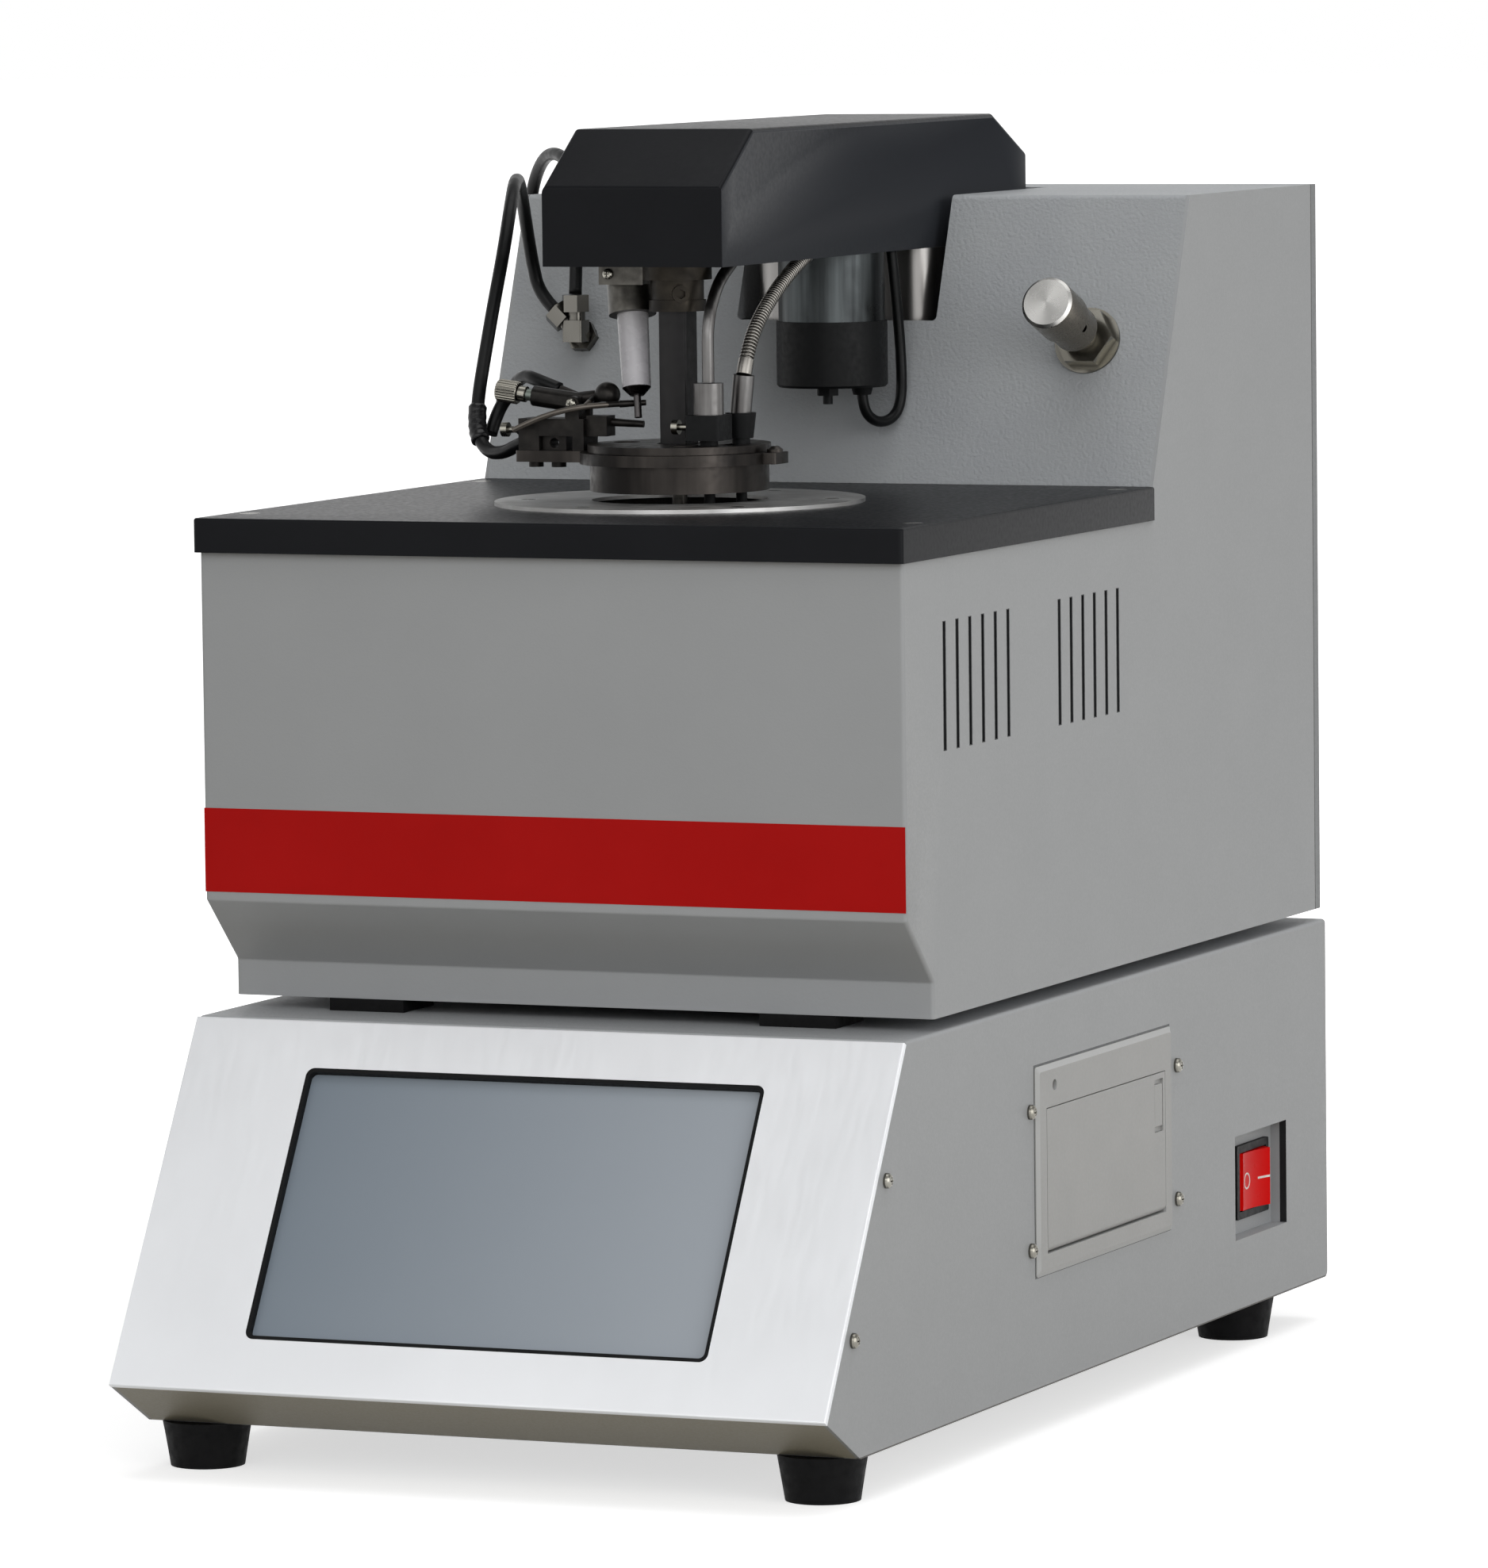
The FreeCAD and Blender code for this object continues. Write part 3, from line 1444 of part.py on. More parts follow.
def build_stirrer_drive():
    low = arm_bottom - motor_can_height
    can = rod(vec(motor_x, motor_y, low), vec(motor_x, motor_y, arm_bottom), motor_can_radius)
    can = can.cut(rod(vec(motor_x, motor_y, arm_bottom - 2 * pulley_height), vec(motor_x, motor_y, arm_bottom + overrun), motor_shaft_radius + shaft_gap))
    save("motor_can", can)
    bottom = low - motor_cap_height
    cap = turned([(0, bottom), (motor_cap_radius - cap_lip, bottom), (motor_cap_radius, bottom + cap_lip), (motor_cap_radius, low), (0, low)], motor_x, motor_y)
    nut = hexagon_bar(vec(motor_x, motor_y - motor_nut_offset, bottom), -UP, motor_nut_length, motor_nut_flats)
    stud = rod(vec(motor_x, motor_y - motor_nut_offset, bottom), vec(motor_x, motor_y - motor_nut_offset, bottom - 2 * motor_nut_length), motor_nut_flats / 4)
    gland_at = vec(motor_x + motor_gland_x, motor_y + motor_gland_y, bottom)
    gland = cone(gland_at, gland_at - UP * motor_gland_length, motor_gland_radius, motor_gland_radius * gland_taper_share)
    gland = gland.cut(rod(gland_at, gland_at - UP * 2 * motor_gland_length, motor_cable_radius + seat_gap))
    save("motor_cap", cap.fuse(nut).fuse(stud).fuse(gland))

    level = arm_bottom + arm_plate_thick + pulley_rise
    top = level + pulley_height
    drive = pulley(motor_x, motor_y, level, motor_pulley_radius, 0)
    drive_shaft = rod(vec(motor_x, motor_y, arm_bottom - 2 * pulley_height + seat_gap), vec(motor_x, motor_y, level), motor_shaft_radius)
    save("motor_pulley", drive.fuse(drive_shaft))
    belt = belt_loop(belt_thick + seat_gap).cut(belt_loop(seat_gap))
    belt = belt.translated(vec(0, 0, level + (pulley_height - belt_width) / 2))
    save("drive_belt", belt)

    wheel = pulley(cup_x, cup_y, level, stirrer_pulley_radius, 0)
    shaft = rod(vec(cup_x, cup_y, lid_bottom - stirrer_drop), vec(cup_x, cup_y, top), shaft_radius)
    stirrer = wheel.fuse(shaft)
    for reach, rise in ((blade_reach, 0), (blade_reach * upper_blade_share, blade_spacing)):
        z = lid_bottom - stirrer_drop + blade_width + rise
        for side in (-1, 1):
            blade = block(0, reach, -blade_width / 2, blade_width / 2, -blade_thick / 2, blade_thick / 2)
            blade.rotate(vec(0, 0, 0), ACROSS, side * blade_pitch)
            if side < 0:
                blade.rotate(vec(0, 0, 0), UP, 180)
                blade.rotate(vec(0, 0, 0), ACROSS, 2 * blade_pitch)
            stirrer = stirrer.fuse(blade.translated(vec(cup_x, cup_y, z)))
    save("stirrer", stirrer)


stirrer_drop = 44.0
blade_reach = 19.0
upper_blade_share = 0.5
blade_width = 8.0
blade_thick = 1.6
blade_pitch = 45.0
blade_spacing = 17.0


# Head under the arm: flange, square column, lid with its skirt and ears, shutter on top
skirt_radius = 35.7
skirt_height = 10.8
skirt_wall = 3.0
lid_radius = 39.6
lid_thick = 4.5
shutter_radius = 36.5
shutter_thick = 3.0
shutter_turn = 30.0
column_size = 12.0
column_hub_gap = 0.4
flange_drop = 19.0
flange_top_radius = 13.8
flange_top_thick = 6.5
flange_neck_radius = 10.6
flange_foot_radius = 11.4
flange_foot_thick = 4.5
clamp_boss_radius = 3.4
clamp_boss_reach = 13.0
ear_reach = 67.5
ear_width = 19.0
right_ear_reach = 44.5
right_ear_width = 14.0
lid_screw_radius = 3.2
lid_screw_height = 2.4


def lid_plate_bottom():
    return lid_bottom + skirt_height


def lid_top():
    return lid_plate_bottom() + lid_thick


def shutter_bottom():
    return lid_top() + shaft_gap


def shutter_top():
    return shutter_bottom() + shutter_thick


# Places of the two sensors on the lid, from the lid's axis
temperature_dx = 19.0
temperature_dy = -14.0
flash_dx = 25.0
flash_dy = 4.0
sensor_post_radius = 3.6
sensor_post_rise = 2.2
port_radius = 5.5
port_circle = 25.0
port_angle = 200.0


def arc_slot(radius, centre_angle, sweep, half_width, z0, z1):
    # a slot along a circle about the lid's axis, from centre_angle back by sweep
    inner = radius - half_width
    outer = radius + half_width
    ring = turned([(inner, z0), (outer, z0), (outer, z1), (inner, z1)], cup_x, cup_y)
    start = math.radians(centre_angle)
    stop = math.radians(centre_angle + sweep)
    far = 3 * radius
    middle = (start + stop) / 2
    wedge = plan_prism(
        [
            (cup_x, cup_y),
            (cup_x + far * math.cos(start), cup_y + far * math.sin(start)),
            (cup_x + far * math.cos(middle), cup_y + far * math.sin(middle)),
            (cup_x + far * math.cos(stop), cup_y + far * math.sin(stop)),
        ],
        z0,
        z1,
    )
    slot = ring.common(wedge)
    for angle in (start, stop):
        x = cup_x + radius * math.cos(angle)
        y = cup_y + radius * math.sin(angle)
        slot = slot.fuse(rod(vec(x, y, z0), vec(x, y, z1), half_width))
    return slot


def sensor_places():
    return ((temperature_dx, temperature_dy), (flash_dx, flash_dy))


def build_head():
    neck_z = arm_bottom - flange_drop
    profile = [
        (shaft_radius + seat_gap, neck_z),
        (flange_foot_radius, neck_z),
        (flange_foot_radius, neck_z + flange_foot_thick),
        (flange_neck_radius, neck_z + flange_foot_thick),
        (flange_neck_radius, arm_bottom - flange_top_thick),
        (flange_top_radius, arm_bottom - flange_top_thick),
        (flange_top_radius, arm_bottom),
        (shaft_radius + seat_gap, arm_bottom),
    ]
    flange = turned(profile, cup_x, cup_y)
    boss_z = arm_bottom - flange_top_thick - 1.6 * clamp_boss_radius
    boss_way = vec(0.5, -0.87, 0)
    boss_start = vec(cup_x, cup_y, boss_z) + boss_way * (flange_neck_radius / 2)
    boss_end = vec(cup_x, cup_y, boss_z) + boss_way * clamp_boss_reach
    flange = flange.fuse(rod(boss_start, boss_end, clamp_boss_radius))
    flange = flange.cut(hexagon_bar(boss_end - boss_way * clamp_boss_radius, boss_way, 2 * clamp_boss_radius, clamp_boss_radius))
    flange = flange.cut(rod(vec(cup_x, cup_y, neck_z), vec(cup_x, cup_y, arm_bottom), shaft_radius + seat_gap))
    save("head_flange", flange)
    half = column_size / 2
    column = block(cup_x - half, cup_x + half, cup_y - half, cup_y + half, lid_top(), neck_z)
    column = rounded(column, UP, column_size / 10)
    column = column.cut(rod(vec(cup_x, cup_y, lid_bottom), vec(cup_x, cup_y, arm_bottom), shaft_radius + seat_gap))
    save("drive_column", column)


def build_lid():
    bottom = lid_plate_bottom()
    top = lid_top()
    lid = turned(
        [
            (0, bottom),
            (skirt_radius - skirt_wall, bottom),
            (skirt_radius - skirt_wall, lid_bottom),
            (skirt_radius, lid_bottom),
            (skirt_radius, bottom),
            (lid_radius, bottom),
            (lid_radius, top),
            (0, top),
        ],
        cup_x,
        cup_y,
    )
    left = soft_block(cup_x - ear_reach, cup_x - skirt_radius, cup_y - ear_width / 2, cup_y + ear_width / 2, bottom, top, UP, sheet)
    right = soft_block(cup_x + skirt_radius, cup_x + right_ear_reach, cup_y - right_ear_width / 2, cup_y + right_ear_width / 2, bottom, top, UP, sheet)
    lid = lid.fuse(left).fuse(right)
    lid = lid.cut(rod(vec(cup_x, cup_y, lid_bottom - overrun), vec(cup_x, cup_y, top + overrun), shaft_radius + seat_gap))
    lid = lid.cut(rod(port_centre(bottom - overrun, 0), port_centre(top + overrun, 0), port_radius))
    for dx, dy in sensor_places():
        lid = lid.cut(rod(vec(cup_x + dx, cup_y + dy, bottom - overrun), vec(cup_x + dx, cup_y + dy, top + overrun), sensor_post_radius - 1))
    screw_x = cup_x + right_ear_reach - lid_screw_radius
    lid_screw = turned(
        [
            (0, top),
            (lid_screw_radius, top),
            (lid_screw_radius, top + lid_screw_height / 2),
            (lid_screw_radius / 2, top + lid_screw_height),
            (0, top + lid_screw_height),
        ],
        screw_x,
        cup_y,
    )
    save("lid_plate", [lid.fuse(lid_screw)])
    disc = turned([(0, shutter_bottom()), (shutter_radius, shutter_bottom()), (shutter_radius, shutter_top()), (0, shutter_top())], cup_x, cup_y)
    hub = column_size / 2 * math.sqrt(2) + column_hub_gap
    disc = disc.cut(rod(vec(cup_x, cup_y, lid_bottom), vec(cup_x, cup_y, shutter_top() + overrun), hub))
    for dx, dy in sensor_places():
        radius = math.hypot(dx, dy)
        angle = math.degrees(math.atan2(dy, dx))
        slot = arc_slot(radius, angle, -shutter_turn, sensor_post_radius + seat_gap, shutter_bottom() - overrun, shutter_top() + overrun)
        disc = disc.cut(slot)
    disc = disc.cut(rod(port_centre(shutter_bottom() - overrun, -shutter_turn), port_centre(shutter_top() + overrun, -shutter_turn), port_radius))
    save("shutter_disc", disc)


def port_centre(z, turn):
    angle = math.radians(port_angle + turn)
    return vec(cup_x + port_circle * math.cos(angle), cup_y + port_circle * math.sin(angle), z)


# Sensors: black holders on posts, the caps in them, and the rods that reach into the cup
holder_height = 10.0
temperature_holder = 14.5
flash_holder_top_radius = 6.2
flash_holder_foot_radius = 5.0
temperature_cap_radius = 6.0
temperature_cap_height = 12.5
ferrule_radius = 4.3
ferrule_height = 15.0
ferrule_lean = 6.0
probe_drop = 36.0
probe_radius = 2.2
sensor_tube_radius = 2.4
armour_radius = 3.0
armour_root_radius = 2.5
armour_bore_radius = 1.9
armour_rib_pitch = 1.9
armour_rib_shares = (0.25, 0.75)


def holder_bottom():
    return shutter_top() + sensor_post_rise


def sensor_axis(dx, dy, z):
    return vec(cup_x + dx, cup_y + dy, z)


def ferrule_way():
    lean = math.radians(ferrule_lean)
    return vec(math.sin(lean), 0, math.cos(lean))


def build_sensors():
    low = holder_bottom()
    high = low + holder_height
    top = lid_top()
    half = temperature_holder / 2
    tx, ty = cup_x + temperature_dx, cup_y + temperature_dy
    holder = soft_block(tx - half, tx + half, ty - half, ty + half, low, high, UP, half / 6)
    holder = holder.fuse(rod(vec(tx, ty, top), vec(tx, ty, low), sensor_post_radius))
    screw_start = vec(tx - half, ty, low + holder_height / 2)
    holder = holder.cut(rod(screw_start, screw_start + vec(half, 0, 0), thumb_thread + shaft_gap))
    fx, fy = cup_x + flash_dx, cup_y + flash_dy
    flash = cone(vec(fx, fy, low), vec(fx, fy, high), flash_holder_foot_radius, flash_holder_top_radius)
    flash = flash.fuse(rod(vec(fx, fy, top), vec(fx, fy, low), sensor_post_radius))
    rods = []
    rods.append(rod(vec(tx, ty, lid_bottom - probe_drop), vec(tx, ty, top), probe_radius))
    rods.append(rod(vec(fx, fy, lid_bottom - lid_clearance), vec(fx, fy, top), probe_radius))
    save("sensor_blocks", [holder, flash] + rods)
    cap = turned(
        [
            (0, high),
            (temperature_cap_radius, high),
            (temperature_cap_radius, high + temperature_cap_height),
            (0, high + temperature_cap_height),
        ],
        tx,
        ty,
    )
    base = vec(fx, fy, high)
    ferrule = rod(base - ferrule_way() * (ferrule_radius / 2), base + ferrule_way() * ferrule_height, ferrule_radius)
    ferrule = ferrule.cut(block(fx - 2 * ferrule_radius, fx + 2 * ferrule_radius, fy - 2 * ferrule_radius, fy + 2 * ferrule_radius, low, high))
    save("sensor_caps", [cap, ferrule])


# Bent sheath of the temperature sensor and armoured hose of the flash sensor, up into the arm
conduit_bite = 2.2
conduit_hole_gap = 1.0
conduit_hole_reach = 22.0
tube_rise_shares = (0.5, 0.8)
tube_reach_shares = (0.22, 0.62)
armour_end_dx = 2.5
armour_end_share = 0.6508
armour_bend_power = 1.85


def sensor_tube_route():
    high = holder_bottom() + holder_height + temperature_cap_height + seat_gap
    start = vec(cup_x + temperature_dx, cup_y + temperature_dy, high)
    rise = arm_bottom + conduit_bite - high
    first_rise, second_rise = tube_rise_shares
    first_reach, second_reach = tube_reach_shares
    return [
        start,
        start + vec(0, 0, rise * first_rise),
        start + vec(0, rise * first_reach, rise * second_rise),
        start + vec(0, rise * second_reach, rise),
    ]


def armour_ends():
    high = holder_bottom() + holder_height
    base = vec(cup_x + flash_dx, cup_y + flash_dy, high)
    first = base + ferrule_way() * (ferrule_height + seat_gap)
    motor_front = motor_y - motor_can_radius
    last_y = first.y + armour_end_share * (motor_front - first.y)
    last = vec(first.x + armour_end_dx, last_y, arm_bottom + conduit_bite)
    return first, last


def armour_point(share):
    first, last = armour_ends()
    whole = last - first
    return first + vec(whole.x * share, whole.y * share ** armour_bend_power, whole.z * share)


def conduit_ends():
    # end point, direction there and radius of each cord that goes up through the arm's base plate
    tube = sensor_tube_route()
    cable = motor_cable_route()
    near_end = 0.97
    found = []
    for before, end, radius in (
        (tube[-2], tube[-1], sensor_tube_radius),
        (armour_point(near_end), armour_point(1), armour_radius),
        (cable[-2], cable[-1], motor_cable_radius),
    ):
        way = end - before
        way.normalize()
        found.append((end, way, radius))
    return found


def build_conduits():
    save("sensor_tube", cord_tube("sensor_tube", sensor_tube_route(), sensor_tube_radius))
    save("armoured_hose", ribbed_hose())


def ribbed_hose():
    # leaves the ferrule almost upright and leans back more and more on its way up
    steps = 400
    samples = [armour_point(k / steps) for k in range(steps + 1)]
    lengths = [0.0]
    for a, b in zip(samples, samples[1:]):
        lengths.append(lengths[-1] + (b - a).Length)
    total = lengths[-1]

    def at(distance):
        for k in range(1, len(lengths)):
            if distance <= lengths[k] or k == len(lengths) - 1:
                span = lengths[k] - lengths[k - 1]
                share = (distance - lengths[k - 1]) / span
                point = samples[k - 1] + (samples[k] - samples[k - 1]) * share
                way = samples[k] - samples[k - 1]
                way.normalize()
                return point, way

    def ring(distance, radius):
        point, way = at(distance)
        circle = Part.Wire([Part.makeCircle(radius)])
        circle.Placement = FreeCAD.Placement(point, FreeCAD.Rotation(ACROSS, vec(0, 0, 0), way, "ZXY"))
        return circle

    plain = 2 * armour_radius
    count = int((total - 2 * plain) / armour_rib_pitch)
    pitch = (total - 2 * plain) / count
    rings = [ring(0, armour_root_radius)]
    for k in range(count):
        base = plain + k * pitch
        rings.append(ring(base, armour_root_radius))
        rings.append(ring(base + armour_rib_shares[0] * pitch, armour_radius))
        rings.append(ring(base + armour_rib_shares[1] * pitch, armour_radius))
    rings.append(ring(total - plain, armour_root_radius))
    rings.append(ring(total, armour_root_radius))
    outer = Part.makeLoft(rings, True, True)
    bores = [ring(k * total / 8, armour_bore_radius) for k in range(9)]
    bore = Part.makeLoft(bores, True, False)
    print("armoured_hose length", round(total, 1), "ribs", count)
    return outer.cut(bore)


# Electric igniter on the flange: clamp, white ceramic tube, electrode
igniter_top_radius = 6.4
igniter_foot_radius = 5.7
igniter_length = 37.0
igniter_cap_length = 3.0
igniter_lean_right = 8.5
igniter_lean_front = 13.0
igniter_dx = -22.5
igniter_dy = 6.0
igniter_top_drop = 14.0
electrode_radius = 1.5
electrode_length = 9.0
clamp_width = 17.0
clamp_depth = 14.0
clamp_height = 8.5
clip_radius = 9.5
clip_length = 7.0


def igniter_frame():
    right = math.tan(math.radians(igniter_lean_right))
    front = math.tan(math.radians(igniter_lean_front))
    way = vec(right, -front, -1)
    way.normalize()
    top = vec(cup_x + igniter_dx, cup_y + igniter_dy, arm_bottom - igniter_top_drop)
    return top, way


def build_igniter():
    top, way = igniter_frame()
    body = cone(top, top + way * igniter_length, igniter_top_radius, igniter_foot_radius)
    foot = top + way * igniter_length
    tip_cap = cone(foot, foot + way * igniter_cap_length, igniter_foot_radius, igniter_foot_radius / 2)
    electrode = rod(foot, foot + way * (igniter_cap_length + electrode_length), electrode_radius)
    save("igniter_tube", body.fuse(tip_cap).fuse(electrode))
    z1 = arm_bottom
    z0 = z1 - clamp_height
    x1 = cup_x - flange_neck_radius * 0.6
    x0 = cup_x + igniter_dx - clamp_width / 2
    clamp = block(x0, x1, cup_y - clamp_depth / 2, cup_y + clamp_depth / 2 + igniter_dy / 2, z0, z1)
    flange_body = rod(vec(cup_x, cup_y, z0 - overrun), vec(cup_x, cup_y, z1 + overrun), flange_top_radius)
    clamp = clamp.cut(flange_body)
    clip = rod(top - way * (igniter_top_drop / 2), top + way * clip_length, clip_radius)
    clip = clip.cut(block(x0 - clip_radius, x1 + clip_radius, cup_y - 4 * clip_radius, cup_y + 4 * clip_radius, z1, z1 + 4 * clip_radius))
    socket = cone(top, top + way * igniter_length, igniter_top_radius, igniter_foot_radius)
    bore = rod(top - way * clip_radius, top, igniter_top_radius / 2)
    holder = clamp.fuse(clip).cut(socket).cut(bore).cut(flange_body)
    save("igniter_holder", holder)


# Test burner on the lid's left ear
bracket_top = 17.2
bracket_bar_low = 10.3
bracket_left = 67.0
bracket_right = 38.5
bracket_depth = 14.0
bracket_left_foot = 9.0
bracket_middle_left = 57.7
bracket_middle_right = 47.4
bracket_right_foot = 4.9
bracket_hole_radius = 2.0
pilot_block_left = 38.5
pilot_block_right = 29.6
pilot_block_low = 10.2
pilot_block_high = 18.4
pilot_tip_x = 17.0
pilot_tip_rise = 14.8
pilot_tip_dy = 4.1
pilot_drop = 2.7
pilot_radius = 1.7
thumb_head_radius = 2.9
thumb_head_length = 2.6
thumb_neck_radius = 1.3
thumb_neck_length = 5.5
thumb_thread = 1.3
thumb_bite = 4.0
ear_screw_radius = 3.0
ear_screw_height = 2.4
burner_pivot_x = 43.5
burner_pivot_rise = 23.3
burner_tail_x = 63.0
burner_tail_rise = 26.0
burner_body_radius = 4.1
burner_nose_radius = 2.6
burner_nose_length = 2.2
burner_nose_lift = 1.7
burner_dome_radius = 5.2
burner_dome_x = 31.0
burner_dome_rise = 26.6
burner_cheek_thick = 3.0
needle_radius = 1.6
seal_radius = 2.4
seal_length = 3.0
burner_knob_radius = 4.6
burner_knob_length = 9.2
burner_collar_radius = 3.2
burner_collar_length = 3.6
burner_flute_count = 24
burner_flute_depth = 0.35
pipe_radius = 1.15
pipe_tip_radius = 1.5
pipe_tip_share = 0.3
pipe_link_x = 36.0
pipe_link_y = 10.6
pipe_link_rise = 26.2
pipe_link_low = 22.5
burner_pipe_route = (
    (67.0, -12.0, 12.8),
    (57.0, -12.0, 17.2),
    (47.0, -12.0, 20.4),
    (37.0, -11.0, 22.3),
    (28.0, -6.0, 23.0),
    (14.5, 0.8, 23.6),
)
pivot_pin_radius = 1.8
pilot_taper = 0.8
trunnion_radius = 2.3
trunnion_dy = 10.1
branch_pipe_radius = 1.9
branch_pipe_x = 56.0
branch_pipe_rise = 28.0


def ear_top():
    return lid_top()


def lid_point(x, dy, rise):
    # a point given by its distance left of the cup's axis, behind it, and above the lid's bottom
    return vec(cup_x - x, cup_y + dy, lid_plate_bottom() + rise)


def build_bracket():
    y0 = cup_y - bracket_depth / 2
    y1 = cup_y + bracket_depth / 2
    z = lid_plate_bottom()
    top = ear_top()
    bar = block(cup_x - bracket_left, cup_x - bracket_right, y0, y1, z + bracket_bar_low, z + bracket_top)
    left = block(cup_x - bracket_left, cup_x - bracket_left + bracket_left_foot, y0, y1, top, z + bracket_bar_low)
    thin = bracket_depth / 5
    middle = block(cup_x - bracket_middle_left, cup_x - bracket_middle_right, y0 + thin, y1 - thin, top, z + bracket_bar_low)
    right = block(cup_x - bracket_right - bracket_right_foot, cup_x - bracket_right, y0, y1, top, z + bracket_bar_low)
    bracket = bar.fuse(left).fuse(middle).fuse(right)
    hole_x = cup_x - (bracket_middle_left + bracket_middle_right) / 2
    hole_z = (top + z + bracket_bar_low) / 2
    bracket = bracket.cut(rod(vec(hole_x, y0 - overrun, hole_z), vec(hole_x, y1 + overrun, hole_z), bracket_hole_radius))
    pilot = block(cup_x - pilot_block_left, cup_x - pilot_block_right, y0 + thin, y1 - thin, z + pilot_block_low, z + pilot_block_high)
    bracket = bracket.fuse(pilot)
    start = lid_point(pilot_block_right + pilot_radius, pilot_radius, pilot_block_high - pilot_drop)
    tip = lid_point(pilot_tip_x, pilot_tip_dy, pilot_tip_rise)
    bracket = bracket.fuse(cone(start, tip, pilot_radius, pilot_radius * pilot_taper))
    thumb_z = z + bracket_thumb_rise
    bracket = bracket.cut(rod(vec(cup_x - bracket_left - overrun, y0 + thin, thumb_z), vec(cup_x - bracket_left + thumb_bite + seat_gap, y0 + thin, thumb_z), thumb_thread + shaft_gap))
    for side in (-1, 1):
        base_y = cup_y + side * (bracket_depth - burner_cheek_thick) / 2
        pivot = vec(cup_x - burner_pivot_x, base_y, z + burner_pivot_rise)
        ear = block(
            pivot.x - burner_cheek_thick,
            pivot.x + burner_cheek_thick,
            base_y - burner_cheek_thick / 2,
            base_y + burner_cheek_thick / 2,
            z + bracket_top,
            pivot.z,
        )
        boss = rod(pivot - vec(0, burner_cheek_thick / 2, 0), pivot + vec(0, burner_cheek_thick / 2, 0), burner_cheek_thick)
        bracket = bracket.fuse(ear).fuse(boss)
    pin_half = bracket_depth / 2
    pivot_z = z + burner_pivot_rise
    pin = rod(
        vec(cup_x - burner_pivot_x, cup_y - pin_half, pivot_z),
        vec(cup_x - burner_pivot_x, cup_y + pin_half, pivot_z),
        pivot_pin_radius,
    )
    bracket = bracket.fuse(pin)
    bend = lid_point(burner_pivot_x, trunnion_dy, burner_pivot_rise)
    trunnion = rod(lid_point(burner_pivot_x, bracket_depth / 2 - burner_cheek_thick / 2, burner_pivot_rise), bend, trunnion_radius)
    pipe_end = lid_point(branch_pipe_x, trunnion_dy, branch_pipe_rise)
    bracket = bracket.fuse(trunnion).fuse(Part.makeSphere(trunnion_radius, bend)).fuse(rod(bend, pipe_end, branch_pipe_radius))
    heads = []
    for x in (bracket_left - bracket_left_foot / 2, (bracket_middle_left + bracket_middle_right) / 2):
        heads.append(rod(vec(cup_x - x, cup_y, z - ear_screw_height), vec(cup_x - x, cup_y, z), ear_screw_radius))
    save("burner_bracket", [bracket] + heads)


bracket_thumb_rise = 12.6


def build_burner():
    z = lid_plate_bottom()
    pivot = lid_point(burner_pivot_x, 0, burner_pivot_rise)
    tail = lid_point(burner_tail_x, 0, burner_tail_rise)
    back = tail - pivot
    back.normalize()
    half_gap = bracket_depth / 2 - burner_cheek_thick - seat_gap
    body = rod(pivot - back * burner_nose_length, tail, burner_body_radius)
    dome_centre = lid_point(burner_dome_x, 0, burner_dome_rise)
    nose = rod(pivot + UP * burner_nose_lift, dome_centre, burner_nose_radius)
    dome = Part.makeSphere(burner_dome_radius, dome_centre)
    reach = 2 * burner_dome_radius
    below = block(
        dome_centre.x - reach,
        dome_centre.x + reach,
        dome_centre.y - reach,
        dome_centre.y + reach,
        dome_centre.z - reach,
        dome_centre.z - burner_dome_radius / 2,
    )
    dome = dome.cut(below)
    shape = body.fuse(nose)
    shape = shape.common(block(cup_x - 2 * ear_reach, cup_x, cup_y - half_gap, cup_y + half_gap, z, arm_bottom))
    shape = shape.fuse(dome)
    shape = shape.cut(rod(pivot - BACK * bracket_depth, pivot + BACK * bracket_depth, pivot_pin_radius + shaft_gap))
    seal = rod(tail, tail + back * seal_length, seal_radius)
    needle = rod(tail, tail + back * (seal_length + burner_needle_show), needle_radius)
    shape = shape.fuse(seal).fuse(needle)
    pipe_points = [lid_point(x, dy, rise) for x, dy, rise in burner_pipe_route]
    pipe = cord_tube("burner pipe", pipe_points, pipe_radius)
    tip_start = pipe_points[-2] + (pipe_points[-1] - pipe_points[-2]) * pipe_tip_share
    tip = cone(tip_start, pipe_points[-1], pipe_tip_radius, pipe_radius)
    link = rod(lid_point(pipe_link_x, 0, pipe_link_rise), lid_point(pipe_link_x, -pipe_link_y, pipe_link_low), pipe_radius)
    shape = shape.fuse(link).fuse(pipe).fuse(tip)
    save("burner_body", shape)
    knob_start = tail + back * (seal_length + seat_gap)
    profile = [
        (needle_radius + shaft_gap, 0),
        (burner_collar_radius, 0),
        (burner_collar_radius, burner_collar_length),
        (burner_knob_radius, burner_collar_length),
        (burner_knob_radius, burner_collar_length + burner_knob_length),
        (0, burner_collar_length + burner_knob_length),
        (0, burner_needle_show),
        (needle_radius + shaft_gap, burner_needle_show),
    ]
    knob = turned_along(profile, knob_start, back)
    save("burner_knob", knob)


burner_needle_show = 5.0
thumb_collar_share = 1.5


def thumbscrew(seat, way, bite):
    head_start = seat - way * thumb_neck_length
    shank = rod(head_start, seat + way * bite, thumb_thread)
    head = rod(head_start - way * thumb_head_length, head_start, thumb_head_radius)
    collar = rod(seat - way * thumb_head_length / 2, seat - way * seat_gap, thumb_neck_radius * thumb_collar_share)
    return shank.fuse(head).fuse(collar)


